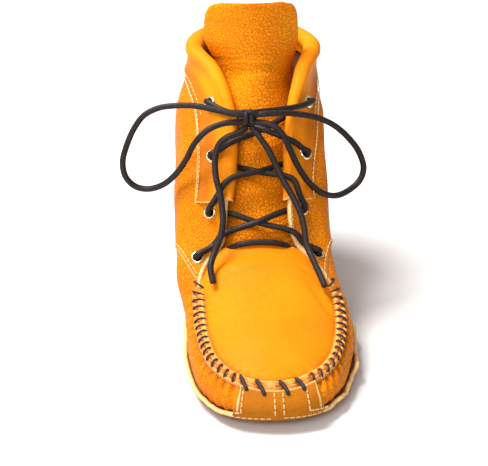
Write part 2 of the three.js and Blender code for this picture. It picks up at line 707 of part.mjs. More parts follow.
function crossingSolid([eyelet, ownRim, otherRim, overSide], places) {
  const strands = [-1, 1].map((side) => {
    const start = overEyelet(places.find((place) => place.index === eyelet && place.side === side));
    const [near, back] = EYELETS[eyelet];
    const way = onSide((near + ownRim) / 2, side);
    const lift = outsideLift(ownRim) + LACE_CLEAR + 2 * GAP;
    return {
      side,
      start: [start, skin(way, setback(way, back / 2), lift)],
      rim: overRim(ownRim, side),
      end: underRim(otherRim, -side),
    };
  });
  const meeting = new THREE.Vector3();
  strands.forEach(({ rim, end }) => meeting.addScaledVector(rim, 0.25).addScaledVector(end, 0.25));
  const tubes = strands.map(({ side, start, rim, end }) => {
    const lift = CROSSING_FORWARD + 0.42 * LACE_DIAMETER * (side === overSide ? 1 : -1);
    const middle = meeting.clone().addScaledVector(THROAT_FORWARD, lift);
    return solidOf(laceTube([...start, rim, middle, end]));
  });
  return tubes[0].add(tubes[1]).subtract(upperRoom);
}

// First bar: from under one throat edge to under the other, over the front of the tongue.
const BAR_RIM = 8.7;
const BAR_POINTS = [
  // along, middle, rise
  [0.428, -0.3, 0.307],
  [0.425, -0.09, 0.326],
  [0.428, 0.14, 0.307],
];

function barGeometry() {
  const middle = BAR_POINTS.map(([along, x, rise]) => (
    point(x * BALL_HALF, depthOf(along), riseOf(rise))));
  return laceTube([underRim(BAR_RIM, -1), ...middle, underRim(BAR_RIM, 1)]);
}

// The knot and what hangs from it: routes chosen by hand, as x, depth from the toe and height.
const KNOT = [-8, 158, 136];
const KNOT_SIZE = [13, 9, 12];
const LACE_ROUTES = {
  lace_loop_inner: [
    [-11, 157, 138], [-18, 157, 139], [-31, 161, 141], [-43, 165, 142], [-55, 168, 141], [-64, 170, 139],
    [-73, 171, 134], [-79, 171, 126], [-84, 170, 115], [-87, 169, 103], [-85, 168, 93],
    [-79, 167, 87], [-71, 165, 86], [-62, 162, 90], [-54, 158, 99], [-48, 156, 109],
    [-43, 155, 120], [-35, 155, 129], [-25, 156, 133], [-11, 157, 133.5],
  ],
  lace_loop_outer: [
    [-5, 157, 138], [2, 157, 138.5], [12, 159, 138], [26, 163, 135], [37, 166, 131], [48, 169, 124],
    [58, 170, 114], [64, 170, 105], [67, 169, 95], [65, 167, 88], [59, 164, 83],
    [49, 158, 81], [38, 151.5, 86], [29, 149, 95], [22, 149, 106], [17, 150, 117],
    [12, 152, 127], [6, 154, 132], [-5, 157, 133.5],
  ],
  lace_end_inner: [
    [-10, 157, 130], [-14, 155, 127.5], [-22, 153.5, 125], [-27, 153, 121], [-30, 150, 113],
    [-30, 142.5, 102], [-28, 136.5, 94], [-27, 131, 86], [-27, 126, 79], [-29, 121, 71], [-33, 116, 63],
    [-36, 109, 57], [-35, 101, 50],
  ],
  lace_end_outer: [
    [-7, 157, 130], [-3, 154, 126], [0, 152, 122], [4, 149, 116], [8, 146, 108], [13, 141, 98],
    [18, 136, 90], [22, 131, 82], [24, 126, 74], [25, 119, 65], [28, 111, 59],
    [31, 104, 53.5], [34, 96, 47.5],
  ],
};

const upper = upperSolid();
const upperRoom = upperSolid(GAP);
const cuff = cuffSolid().subtract(upperRoom);
const plug = plugGrid();
const places = [];
for (let index = 0; index < EYELETS.length; index += 1) {
  for (const side of [-1, 1]) places.push({ index, side, ...eyeletPlace(index, side) });
}
const drilled = places.reduce((solid, place) => solid.subtract(eyeletHole(place)), upper);
const drilledCuff = places.filter(({ near }) => underCuff(near))
  .reduce((solid, place) => solid.subtract(eyeletHole(place)), cuff);

addPiece("upper", geometryOf(drilled), GOLD_HIDE);
addPiece("outsole", geometryOf(soleSolid().subtract(upperSolid(GAP / 2))), SOLE_HIDE);
addPiece("insole", geometryOf(insoleSolid()), SUEDE);
addPiece("tongue", geometryOf(sheetSolid(tongueGrid(), TONGUE_WALL, () => 0)), GOLD_HIDE);
addPiece("plug", geometryOf(plugSolid(plug)), PLUG_HIDE);
addPiece("collar_cuff", geometryOf(drilledCuff), CUFF_HIDE);
for (const place of places) {
  const sideName = place.side < 0 ? "inner" : "outer";
  addPiece(`eyelet_${sideName}_${place.index + 1}`, eyeletGeometry(place), NICKEL);
}
addPiece("lace_bar", barGeometry(), LACE_HIDE);
for (const crossing of CROSSINGS) {
  addPiece(crossing.at(-1), geometryOf(crossingSolid(crossing, places)), LACE_HIDE);
}

// The knot, and the room that it and its clearance take from the strands that run into it.
const knotAt = (size) => solidOf(new THREE.SphereGeometry(0.5, 10, 6).scale(...size)
  .translate(...triple(point(...KNOT))));
const knotRoom = knotAt(KNOT_SIZE.map((size) => size + 2 * GAP));

const TOP_STRAND_RIM = 12.1;
// Where a strand ends inside the knot, from the knot's middle: aside as a share of its size.
const KNOT_ENTRY = { aside: 0.2, depth: 4, height: 5 };
function topStrand(side) {
  const start = overEyelet(places.find((place) => place.index === 0 && place.side === side));
  const [x, depth, height] = KNOT;
  const { aside, depth: deeper, height: higher } = KNOT_ENTRY;
  const end = point(x + side * aside * KNOT_SIZE[0], depth + deeper, height + higher);
  return laceTube([start, overRim(TOP_STRAND_RIM, side), end]);
}

addPiece("lace_knot", geometryOf(knotAt(KNOT_SIZE)), LACE_HIDE);
for (const [side, name] of [[-1, "lace_top_inner"], [1, "lace_top_outer"]]) {
  addPiece(name, geometryOf(solidOf(topStrand(side)).subtract(knotRoom)), LACE_HIDE);
}
for (const [name, route] of Object.entries(LACE_ROUTES)) {
  const tube = solidOf(laceTube(route.map((place) => point(...place))));
  addPiece(name, geometryOf(tube.subtract(knotRoom)), LACE_HIDE);
}

// The origin lies under the middle of the boot itself, the hanging lace left aside.
const hanging = new Set(["lace_knot", ...Object.keys(LACE_ROUTES)]);
const extent = new THREE.Box3();
boot.children.filter(({ name }) => !hanging.has(name)).forEach((mesh) => extent.expandByObject(mesh));
const middle = extent.getCenter(new THREE.Vector3());
boot.position.set(-middle.x, -middle.y, 0);

export default boot;
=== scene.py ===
import math

import bpy
import numpy as np
from mathutils import Matrix, Vector


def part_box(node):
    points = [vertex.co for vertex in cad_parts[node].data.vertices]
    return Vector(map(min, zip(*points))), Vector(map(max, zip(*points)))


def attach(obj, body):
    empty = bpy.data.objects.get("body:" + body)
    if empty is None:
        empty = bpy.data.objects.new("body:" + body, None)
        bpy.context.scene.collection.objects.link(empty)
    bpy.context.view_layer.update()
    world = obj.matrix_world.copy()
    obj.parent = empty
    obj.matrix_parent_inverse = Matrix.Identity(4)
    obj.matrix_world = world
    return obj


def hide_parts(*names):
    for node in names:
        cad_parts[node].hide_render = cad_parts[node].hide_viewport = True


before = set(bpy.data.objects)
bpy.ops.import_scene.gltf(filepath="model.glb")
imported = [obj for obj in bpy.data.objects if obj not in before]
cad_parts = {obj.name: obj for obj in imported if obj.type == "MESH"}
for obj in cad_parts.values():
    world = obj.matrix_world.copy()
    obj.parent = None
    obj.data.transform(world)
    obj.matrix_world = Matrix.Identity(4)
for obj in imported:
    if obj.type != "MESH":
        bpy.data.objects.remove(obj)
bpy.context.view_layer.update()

# Sizes in millimetres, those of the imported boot; MM turns them into metres.
MM = 0.001
BOOT_LENGTH = 286
BALL_WIDTH = 108
TOE_HEIGHT = 22
COLLAR_HEIGHT = 158
TONGUE_HEIGHT = 195
UPPER_WALL = 2.2
SOLE_WALL = 2.8
PLUG_WALL = 2
TONGUE_WALL = 1.8
CUFF_WALL = 1.8
INSOLE_WALL = 3
GAP = 0.3
TOE_SPRING = 5
TOE_SPRING_LENGTH = 62
HEEL_SPRING = 2
HEEL_SPRING_LENGTH = 34
ARCH_RISE = 1.8
FEATHER_INSET = 9
TURNED_IN_MARGIN = 5
SEAM_LIP = 1.8
SEAM_LIP_WIDTH = 3
SEAM_SLOPE_WIDTH = 1.2
SOLE_WAVE = 0.07
CUFF_GAP = 0.8
CUFF_FACE = 25
CUFF_LEG = 10
CUFF_THROAT_RADIUS = 3.4
CUFF_COLLAR_RADIUS = 5.6
EYELET_RADIUS = 4.4
EYELET_HOLE_RADIUS = 2.4
EYELET_SEAT = 0.6
EYELET_FLANGE = 0.9
LACE_DIAMETER = 3.8

SKIN = GAP + SOLE_WALL
UPPER_LENGTH = BOOT_LENGTH - 2 * SKIN
BALL_HALF = BALL_WIDTH / 2 - SKIN
SHAFT_HEIGHT = COLLAR_HEIGHT - TOE_HEIGHT
LIP_REACH = SEAM_LIP_WIDTH + SEAM_SLOPE_WIDTH

# Ribs of the last from toe to heel, as shares: see the columns' names.
RIBS = np.array([
    # foot_along, foot_in, foot_out, foot_rise, girth_along, girth_in, girth_out, girth_rise,
    # rim_along, rim_in, rim_out, rim_rise, sole_edge
    [0.0, 0.098, -0.098, 0.57, 0.013, 0.098, -0.098, -0.029, 0.044, 0.098, -0.098, 0.0, 0.72],
    [0.0055, 0.354, 0.157, 0.57, 0.0185, 0.344, 0.153, -0.029, 0.053, 0.334, 0.157, 0.002, 0.72],
    [0.0225, 0.588, 0.373, 0.57, 0.034, 0.57, 0.363, -0.026, 0.075, 0.53, 0.363, 0.009, 0.7],
    [0.059, 0.796, 0.58, 0.58, 0.069, 0.766, 0.56, -0.018, 0.107, 0.678, 0.55, 0.018, 0.66],
    [0.128, 0.955, 0.79, 0.6, 0.135, 0.933, 0.766, -0.007, 0.16, 0.806, 0.697, 0.035, 0.74],
    [0.236, 1.02, 0.953, 0.64, 0.239, 1.012, 0.939, 0.015, 0.25, 0.864, 0.806, 0.063, 0.86],
    [0.353, 0.982, 1.006, 0.68, 0.35, 1.022, 0.972, 0.059, 0.339, 0.864, 0.825, 0.11, 0.9],
    [0.454, 0.923, 0.953, 0.77, 0.428, 1.09, 0.884, 0.147, 0.382, 0.845, 0.756, 0.162, 0.88],
    [0.525, 0.874, 0.855, 0.86, 0.486, 1.06, 0.835, 0.257, 0.425, 0.727, 0.55, 0.235, 0.84],
    [0.589, 0.835, 0.747, 0.95, 0.536, 1.04, 0.825, 0.368, 0.454, 0.521, 0.363, 0.301, 0.78],
    [0.654, 0.815, 0.688, 1.0, 0.586, 1.03, 0.83, 0.485, 0.482, 0.472, 0.314, 0.441, 0.76],
    [0.718, 0.806, 0.648, 1.05, 0.643, 0.97, 0.84, 0.596, 0.557, 0.373, 0.354, 0.618, 0.74],
    [0.782, 0.796, 0.619, 1.09, 0.704, 0.955, 0.86, 0.676, 0.625, 0.373, 0.432, 0.801, 0.7],
    [0.854, 0.756, 0.57, 1.14, 0.782, 0.95, 0.86, 0.721, 0.707, 0.53, 0.609, 0.934, 0.68],
    [0.929, 0.609, 0.413, 1.18, 0.875, 0.79, 0.73, 0.713, 0.797, 0.76, 0.785, 0.996, 0.66],
    [0.985, 0.373, 0.177, 1.18, 0.943, 0.432, 0.314, 0.706, 0.904, 0.472, 0.511, 1.0, 0.64],
    [1.0, 0.098, -0.098, 1.18, 0.972, 0.079, -0.079, 0.706, 0.945, -0.02, 0.02, 0.978, 0.64],
])
HEEL_RIB = len(RIBS) - 1
LOOP_COUNT = 2 * HEEL_RIB
THROAT_BASE = 7
TAB_RIB = {-1: 1.75, 1: 2}
TAB_SIDE_WIDTH = 0.36
CUFF_END = 10.25

# Plug, tongue, eyelets and lace. The tongue is wider at the collar than its solid.
PLUG_CROWN = [0.008, 0.02, 0.037, 0.06, 0.086, 0.11, 0.118, 0.116]
PLUG_REAR_STATION = 8.15
PLUG_REAR_CROWN = ((7, 7.5, 8.15), (0.116, 0.108, 0.077))
PLUG_FULLNESS = 2.2
TONGUE_ROWS = np.array([
    # along, middle, half_width, sag, rise
    [0.404, -0.09, 0.38, 0.16, 0.257],
    [0.436, -0.09, 0.42, 0.2, 0.276],
    [0.467, -0.1, 0.52, 0.16, 0.334],
    [0.514, -0.08, 0.6, 0.24, 0.44],
    [0.588, -0.06, 0.66, 0.36, 0.62],
    [0.638, -0.04, 0.64, 0.4, 0.777],
    [0.675, 0.02, 0.5, 0.5, 0.928],
    [0.688, 0.01, 0.52, 0.44, 1],
    [0.698, -0.03, 0.6, 0.34, 1.315],
    [0.709, -0.04, 0.6, 0.28, 1.631],
    [0.713, -0.04, 0.56, 0.22, 1.842],
    [0.714, -0.04, 0.48, 0.17, 1.947],
    [0.715, -0.04, 0.4, 0.13, 2],
])
EYELETS = [
    # near, setback
    (12.3, 11),
    (10.95, 13.5),
    (9.65, 13),
    (7.95, 7.5),
]
CROSSINGS = [
    # eyelet, own_rim, other_rim, over_side
    (3, 9.3, 9.95, -1),
    (2, 10.6, 10.95, -1),
    (1, 11.35, 11.9, 1),
]
TOP_STRAND_RIM = {-1: 12.0, 1: 12.1}
BAR_RIM = 8.7
BAR_POINTS = [
    # along, middle, rise
    (0.436, -0.34, 0.307),
    (0.434, -0.09, 0.32),
    (0.436, 0.18, 0.307),
]
LACE_CLEAR = LACE_DIAMETER / 2 + GAP
CROSSING_FORWARD = 2.8
THROAT_FORWARD = np.array([0, -0.8, 0.6])
KNOT = (-8, 158, 136)
# Where the laced strands end in the knot: aside, behind and above its middle.
KNOT_ENTRY = (1.56, 2.5, 2)
LACE_RADIUS = LACE_DIAMETER / 2
LACE_SQUARENESS = 2.7
LACE_SIDES = 16
KNOT_SIDES = 14
LACE_STEP = 1.2
LACE_ROUTES = {
    # x, depth from the toe, height
    "lace_loop_inner": [
        (-11, 157, 138), (-18, 157, 139), (-31, 161, 141), (-43, 165, 142), (-55, 168, 141),
        (-64, 170, 139), (-73, 171, 134), (-79, 171, 126), (-84, 170, 115), (-87, 169, 103), (-85, 168, 93),
        (-79, 167, 87), (-71, 165, 86), (-62, 162, 90), (-54, 158, 99), (-48, 156, 109), (-43, 155, 120),
        (-35, 155, 129), (-25, 156, 133), (-11, 157, 133.5),
    ],
    "lace_loop_outer": [
        (-5, 157, 138), (2, 157, 138.5), (12, 159, 138), (26, 163, 135), (37, 166, 131), (48, 169, 124),
        (58, 170, 114), (64, 170, 105), (67, 169, 95), (65, 167, 88), (59, 164, 83), (49, 158, 81),
        (38, 151.5, 86), (29, 149, 95), (22, 149, 106), (17, 150, 117), (12, 152, 127), (6, 154, 132),
        (-5, 157, 133.5),
    ],
    "lace_end_inner": [
        (-10, 157, 130), (-14, 155, 127.5), (-22, 153.5, 125), (-27, 153, 121), (-30, 150, 113),
        (-30, 142.5, 102), (-28, 136.5, 94), (-27, 131, 86), (-27, 126, 79), (-29, 121, 71), (-33, 116, 63),
        (-36, 109, 57), (-35, 101, 50),
    ],
    "lace_end_outer": [
        (-7, 157, 130), (-3, 154, 126), (0, 152, 122), (4, 149, 116), (8, 146, 108), (13, 141, 98),
        (18, 136, 90), (22, 131, 82), (24, 126, 74), (25, 119, 65), (28, 111, 59), (31, 104, 53.5),
        (34, 96, 47.5),
    ],
}


def depth_of(share):
    return SKIN + share * UPPER_LENGTH


def rise_of(share):
    return TOE_HEIGHT + share * SHAFT_HEIGHT


def point(x, depth, z):
    """Points from x, depth behind the toe and height."""
    return np.stack(np.broadcast_arrays(x, np.asarray(depth, float) - BOOT_LENGTH / 2, z), -1)


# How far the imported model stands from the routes' own origin.
KNOT_LOW, KNOT_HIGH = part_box("lace_knot")
SHIFT = np.array((KNOT_LOW + KNOT_HIGH) / 2) / MM - point(*KNOT)


def smooth(t):
    t = np.clip(t, 0, 1)
    return t * t * (3 - 2 * t)


def hill(x, width):
    """1 at zero, and fading to both sides within that width."""
    return np.exp(-(x / width) ** 2)


def length_of(a):
    return np.linalg.norm(a, axis=-1, keepdims=True)


def unit(a):
    return a / np.maximum(length_of(a), 1e-9)


# The last's surfaces

def make_loop():
    """One closed loop of ribs: outer side from the toe, round the heel, back down the inner."""
    rows = []
    for k in range(LOOP_COUNT):
        outer = k <= HEEL_RIB
        r = RIBS[k if outer else LOOP_COUNT - k]
        foot, girth, rim = ((r[2], r[6], r[10]) if outer else (-r[1], -r[5], -r[9]))
        rows.append([
            depth_of(r[0]), foot * BALL_HALF, r[3] * TOE_HEIGHT,
            depth_of(r[4]), girth * BALL_HALF, rise_of(r[7]),
            depth_of(r[8]), rim * BALL_HALF, rise_of(r[11]), r[12],
        ])
    return np.array(rows)


LOOP = make_loop()


def catmull(a, b, c, d, f):
    return 0.5 * (2 * b + (c - a) * f + (2 * a - 5 * b + 4 * c - d) * f ** 2
                  + (3 * b - a - 3 * c + d) * f ** 3)


def loop_row(u):
    i = np.floor(u).astype(int)
    a, b, c, d = (LOOP[(i + n) % LOOP_COUNT] for n in (-1, 0, 1, 2))
    return catmull(a, b, c, d, (u - i)[..., None])


def bottom_height(depth):
    """Height of the upper's underside: toe spring, arch and the heel's roll."""
    toe = np.maximum(0, (TOE_SPRING_LENGTH - depth) / TOE_SPRING_LENGTH)
    heel = np.maximum(0, (depth - BOOT_LENGTH + HEEL_SPRING_LENGTH) / HEEL_SPRING_LENGTH)
    along = depth / BOOT_LENGTH
    arch = smooth((along - 0.43) / 0.14) * smooth((0.78 - along) / 0.14)
    return SKIN + TOE_SPRING * toe ** 2 + HEEL_SPRING * heel ** 2 + ARCH_RISE * arch


def hermite(a, ta, b, tb, t):
    t = t[..., None]
    return (a * (2 * t ** 3 - 3 * t ** 2 + 1) + ta * (t ** 3 - 2 * t ** 2 + t)
            + b * (3 * t ** 2 - 2 * t ** 3) + tb * (t ** 3 - t ** 2))


def surface(u, v):
    """Outer surface of the upper: v is 0 at the feather line, 1 at the foot line, 3 at the rim."""
    u, v = np.broadcast_arrays(np.asarray(u, float), np.asarray(v, float))
    step = 1e-3
    row, ahead, behind = loop_row(u), loop_row(u + step), loop_row(u - step)
    along = unit((ahead - behind)[..., [1, 0]])
    out_x, out_d = along[..., 1], -along[..., 0]
    inward = out_x * row[..., 1] + out_d * (row[..., 0] - BOOT_LENGTH / 2) < 0
    out_x, out_d = np.where(inward, -out_x, out_x), np.where(inward, -out_d, out_d)
    foot_d, foot_x, foot_z, girth_d, girth_x, girth_z, rim_d, rim_x, rim_z = (
        row[..., i] for i in range(9))
    turn = np.clip(v, 0, 1) * math.pi / 2
    inset = FEATHER_INSET * (1 - np.sin(turn)) + TURNED_IN_MARGIN * np.maximum(-v, 0)
    depth = foot_d - out_d * inset
    low = bottom_height(depth)
    under = point(foot_x - out_x * inset, depth, low + (foot_z - low) * (1 - np.cos(turn)))
    foot, girth = point(foot_x, foot_d, foot_z), point(girth_x, girth_d, girth_z)
    rim = point(rim_x, rim_d, rim_z)
    lower, upper = length_of(girth - foot), length_of(rim - girth)
    middle = unit(rim - foot)
    up = np.array([0.0, 0.0, 1.0])
    wall = hermite(foot, up * lower, girth, middle * lower, np.clip(v - 1, 0, 1))
    top = hermite(girth, middle * upper, rim, (rim - girth) * 1.1, np.clip(v - 2, 0, 1))
    v = v[..., None]
    return np.where(v <= 1, under, np.where(v <= 2, wall, top))


def normal_at(u, v):
    u, v = np.broadcast_arrays(np.asarray(u, float), np.asarray(v, float))
    step = 0.004
    along_u = surface(u + step, v) - surface(u - step, v)
    along_v = surface(u, np.minimum(v + step, 3)) - surface(u, np.maximum(v - step, -1))
    return unit(np.cross(along_u, along_v))


def skin(u, v, lift):
    return surface(u, v) + normal_at(u, v) * np.asarray(lift, float)[..., None]


# Distance from the rim along each rib, as a table to look up both ways.
ARC_V = np.linspace(3, 1.0, 101)
ARC_PER_RIB = 32
ARC_U = np.arange(LOOP_COUNT * ARC_PER_RIB) / ARC_PER_RIB
ARC_POINTS = surface(ARC_U[:, None], ARC_V[None, :])
ARC = np.concatenate([
    np.zeros((len(ARC_U), 1)),
    np.cumsum(np.linalg.norm(np.diff(ARC_POINTS, axis=1), axis=-1), axis=1),
], axis=1)


def arc_row(u):
    """The table's row at each u, between its two nearest."""
    at = (np.asarray(u, float) % LOOP_COUNT) * ARC_PER_RIB
    i = np.floor(at).astype(int)
    f = (at - i)[..., None]
    return ARC[i % len(ARC)] * (1 - f) + ARC[(i + 1) % len(ARC)] * f


def rim_distance(u, v):
    u, v = np.broadcast_arrays(np.asarray(u, float), np.asarray(v, float))
    at = np.clip((3 - v) / 2 * (len(ARC_V) - 1), 0, len(ARC_V) - 1.001)
    i = np.floor(at).astype(int)
    row = arc_row(u)
    low = np.take_along_axis(row, i[..., None], -1)[..., 0]
    high = np.take_along_axis(row, i[..., None] + 1, -1)[..., 0]
    return low + (high - low) * (at - i)


def setback(u, distance):
    """The v at a distance from the rim."""
    u, distance = np.broadcast_arrays(np.asarray(u, float), np.asarray(distance, float))
    row = arc_row(u)
    i = np.clip((row <= distance[..., None]).sum(-1) - 1, 0, len(ARC_V) - 2)
    low = np.take_along_axis(row, i[..., None], -1)[..., 0]
    high = np.take_along_axis(row, i[..., None] + 1, -1)[..., 0]
    return 3 - (i + np.clip((distance - low) / (high - low), 0, 1)) * 2 / (len(ARC_V) - 1)


def across_rim(u, past, lift):
    """Point at a distance past the rim, or before it where that is negative, and at a lift."""
    u, past, lift = np.broadcast_arrays(*(np.asarray(a, float) for a in (u, past, lift)))
    rim, normal = surface(u, np.full_like(u, 3)), normal_at(u, np.full_like(u, 3))
    along = unit(rim - surface(u, np.full_like(u, 2.97)))
    beyond = rim + along * np.maximum(past, 0)[..., None] + normal * lift[..., None]
    before = skin(u, setback(u, np.maximum(-past, 0)), lift)
    return np.where((past >= 0)[..., None], beyond, before)


def from_toe(u):
    u = np.asarray(u, float) % LOOP_COUNT
    return np.minimum(u, LOOP_COUNT - u)


def side_of(u):
    return np.where(np.asarray(u, float) % LOOP_COUNT < HEEL_RIB, 1, -1)


def on_side(near, side):
    near = np.asarray(near, float)
    return near if side > 0 else LOOP_COUNT - near


# The toe seam's stitches, by distance along the seam from the toe's tip

SEAM_NEAR = np.linspace(0, THROAT_BASE + 1, 1600)
SEAM_RUN = {}
for seam_side in (-1, 1):
    seam_line = surface(on_side(SEAM_NEAR, seam_side), np.full_like(SEAM_NEAR, 3))
    steps = np.linalg.norm(np.diff(seam_line, axis=0), axis=1)
    SEAM_RUN[seam_side] = np.concatenate([[0], np.cumsum(steps)])

FIRST_STITCH = {-1: 9.6, 1: 4.1}
TOE_SPACING = {-1: 10.6, 1: 10.3}
SIDE_SPACING = {-1: 6.1, 1: 6.4}
SPACING_FROM = {-1: 8, 1: 12}
SPACING_FADE = 14
SEAM_END_NEAR = THROAT_BASE + 0.05


def stitch_places(side):
    end = np.interp(SEAM_END_NEAR, SEAM_NEAR, SEAM_RUN[side])
    places = [FIRST_STITCH[side]]
    while places[-1] < end:
        share = smooth((places[-1] - SPACING_FROM[side]) / SPACING_FADE)
        places.append(places[-1] + TOE_SPACING[side] + (SIDE_SPACING[side] - TOE_SPACING[side]) * share)
    return np.array(places[:-1])


STITCHES = {side: stitch_places(side) for side in (-1, 1)}


def between_stitches(u):
    """0 at a stitch of the toe seam, and 1 midway between two."""
    u = np.asarray(u, float)
    near, side = from_toe(u), side_of(u)
    share = np.zeros(near.shape)
    for s in (-1, 1):
        run = np.interp(near, SEAM_NEAR, SEAM_RUN[s])
        marks = np.concatenate([[-FIRST_STITCH[-s]], STITCHES[s]])
        count = np.interp(run, marks, np.arange(len(marks)))
        share = np.where(side == s, np.sin(math.pi * count) ** 2, share)
    return share


def lip_share(near):
    return smooth((THROAT_BASE - near) / 0.9)


# Soft irregular relief, the same each time
RANDOM = np.random.default_rng(11)
WAVE_SETS = [(RANDOM.normal(size=(9, 3)), RANDOM.uniform(0, 2 * math.pi, 9)) for _ in range(6)]


def ripple(points, length, which):
    """Smooth noise from -1 to 1 with waves of about that length."""
    directions, phases = WAVE_SETS[which]
    ways = unit(directions) * 2 * math.pi / length
    scales = 0.7 + 0.6 * np.arange(len(phases)) / len(phases)
    waves = np.sin(points @ (ways * scales[:, None]).T + phases)
    return waves.sum(-1) / math.sqrt(len(phases) * 2)


# Meshes

class Hide:
    """A mesh under construction: shared points with masks, and faces with a material each."""

    def __init__(self):
        self.points, self.masks, self.faces, self.slots = [], [], [], []
        self.count = 0

    def grid(self, points, raw_edge_and_highlight=0.0, painted_shade=0.0):
        """Adds rows of points and gives their numbers."""
        shape = points.shape[:-1]
        number = self.count + np.arange(np.prod(shape)).reshape(shape)
        self.points.append(points.reshape(-1, 3))
        masks = [np.broadcast_to(mask, shape).reshape(-1) for mask in (raw_edge_and_highlight, painted_shade)]
        self.masks.append(np.stack(masks, -1))
        self.count += number.size
        return number

    def quads(self, number, ring=False, slot=0, flip=False):
        """Joins each row of numbers to the next."""
        right = np.roll(number, -1, axis=1)
        if not ring:
            number, right = number[:, :-1], right[:, :-1]
        corners = [number[:-1], right[:-1], right[1:], number[1:]]
        if flip:
            corners.reverse()
        faces = np.stack(corners, -1).reshape(-1, 4)
        self.faces.append(faces)
        self.slots.append(np.full(len(faces), slot))

    def build(self, name, materials, sharp=None):
        points = (np.concatenate(self.points) + SHIFT) * MM
        mesh = bpy.data.meshes.new(name)
        faces = [list(dict.fromkeys(face)) for face in np.concatenate(self.faces).tolist()]
        slots = np.concatenate(self.slots)
        kept = [i for i, face in enumerate(faces) if len(face) > 2]
        mesh.from_pydata(points.tolist(), [], [faces[i] for i in kept])
        for i, mask in enumerate(("raw_edge_and_highlight", "painted_shade")):
            values = np.concatenate(self.masks)[:, i].astype(np.float32)
            mesh.attributes.new(mask, "FLOAT", "POINT").data.foreach_set("value", values)
        for item in materials:
            mesh.materials.append(item)
        mesh.polygons.foreach_set("material_index", slots[kept].astype(np.int32))
        mesh.polygons.foreach_set("use_smooth", np.ones(len(kept), bool))
        if sharp:
            mesh.set_sharp_from_angle(angle=math.radians(sharp))
        mesh.update()
        piece = bpy.data.objects.new(name, mesh)
        bpy.context.scene.collection.objects.link(piece)
        return piece


def ladder(ring):
    """Rows that fill a ring of numbers across; the ring starts at the toe."""
    half = len(ring) // 2
    left = ring[:half + 1]
    right = np.concatenate([ring[:1], ring[:half - 1:-1]])
    return np.stack([left, right], 0)


def border(rows):
    """The numbers round the edge of a sheet."""
    return np.concatenate([rows[0], rows[1:, -1], rows[-1, -2::-1], rows[-2:0:-1, 0]])


def circle(radius, height, sides):
    turn = np.arange(sides) * 2 * math.pi / sides
    return np.stack([radius * np.cos(turn), radius * np.sin(turn), np.full(sides, height)], -1)


def dress(piece, slot, *nodes):
    """Ties a piece to the body and hides the solids it stands for; the slot is not used."""
    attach(piece, "root")
    if nodes:
        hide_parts(*nodes)
    return piece


# Turns of the rings that round a cord's end, from the path outward.
DOME_TURNS = (0.45, 0.9, 1.35)


def add_tube(hide, path, radius, sides=10, squareness=2.0, closed=False, tip=0.6):
    """A tube along a path, with domed ends or closed on itself."""
    path = np.asarray(path, float)
    if closed:
        tangents = unit(np.roll(path, -1, 0) - np.roll(path, 1, 0))
    else:
        tangents = unit(np.gradient(path, axis=0))
    across = np.cross(tangents[0], [0.31, 0.22, 0.92])
    frames = []
    for tangent in tangents:
        across = unit(across - tangent * (across @ tangent))
        frames.append((across, np.cross(tangent, across)))
    angle = np.arange(sides) * 2 * math.pi / sides
    c, s = np.cos(angle), np.sin(angle)
    reach = 1 / (np.abs(c) ** squareness + np.abs(s) ** squareness) ** (1 / squareness)

    def ring(centre, pair, size):
        return centre + size * reach[:, None] * (c[:, None] * pair[0] + s[:, None] * pair[1])

    def dome(end, way, turns):
        return [ring(path[end] + way * tangents[end] * (tip * radius * math.sin(turn)), frames[end],
                     radius * math.cos(turn)) for turn in turns]

    rings = [ring(centre, pair, radius) for centre, pair in zip(path, frames)]
    if closed:
        number = hide.grid(np.array(rings))
        hide.quads(np.concatenate([number, number[:1]]), ring=True)
        return
    rings = [*dome(0, -1, DOME_TURNS[::-1]), *rings, *dome(-1, 1, DOME_TURNS)]
    number = hide.grid(np.array(rings))
    hide.quads(number, ring=True)
    for end, flip in ((0, False), (-1, True)):
        centre = hide.grid(rings[end].mean(0)[None])
        hide.quads(np.stack([np.full(sides, centre[0]), number[end]]), ring=True, flip=flip)


def spline(points, step):
    """A smooth curve through the points, with a point about every step."""
    p = np.asarray(points, float)
    p = np.concatenate([[2 * p[0] - p[1]], p, [2 * p[-1] - p[-2]]])
    made = []
    for i in range(1, len(p) - 2):
        a, b, c, d = p[i - 1:i + 3]
        t1, t2, t3 = (max(math.sqrt(np.linalg.norm(y - x)), 1e-6) for x, y in ((a, b), (b, c), (c, d)))
        ta = (b - a) / t1 - (c - a) / (t1 + t2) + (c - b) / t2
        tb = (c - b) / t2 - (d - b) / (t2 + t3) + (d - c) / t3
        count = max(2, int(np.linalg.norm(c - b) / step))
        f = np.arange(count) / count
        made.append(hermite(b, ta * t2, c, tb * t2, f))
    made.append(p[-2:-1])
    return np.concatenate(made)


# Materials

def new_material(name):
    material = bpy.data.materials.new(name)
    material.use_nodes = True
    nodes = material.node_tree.nodes
    return material, nodes, material.node_tree.links, nodes["Principled BSDF"]


def value_noise(nodes, links, coordinate, scale, detail=4.0, roughness=0.55, stretch=None):
    source = coordinate
    if stretch:
        mapping = nodes.new("ShaderNodeMapping")
        mapping.inputs["Scale"].default_value = stretch
        links.new(coordinate, mapping.inputs["Vector"])
        source = mapping.outputs["Vector"]
    noise = nodes.new("ShaderNodeTexNoise")
    noise.inputs["Scale"].default_value = scale
    noise.inputs["Detail"].default_value = detail
    noise.inputs["Roughness"].default_value = roughness
    links.new(source, noise.inputs["Vector"])
    return noise.outputs["Fac"]


def ramp(nodes, links, source, stops):
    """A colour or grey ramp; each stop is a position and a colour or a grey."""
    node = nodes.new("ShaderNodeValToRGB")
    elements = node.color_ramp.elements
    for i, (position, colour) in enumerate(stops):
        element = elements[i] if i < 2 else elements.new(position)
        element.position = position
        element.color = (*colour, 1) if isinstance(colour, tuple) else (colour, colour, colour, 1)
    links.new(source, node.inputs["Fac"])
    return node.outputs["Color"]


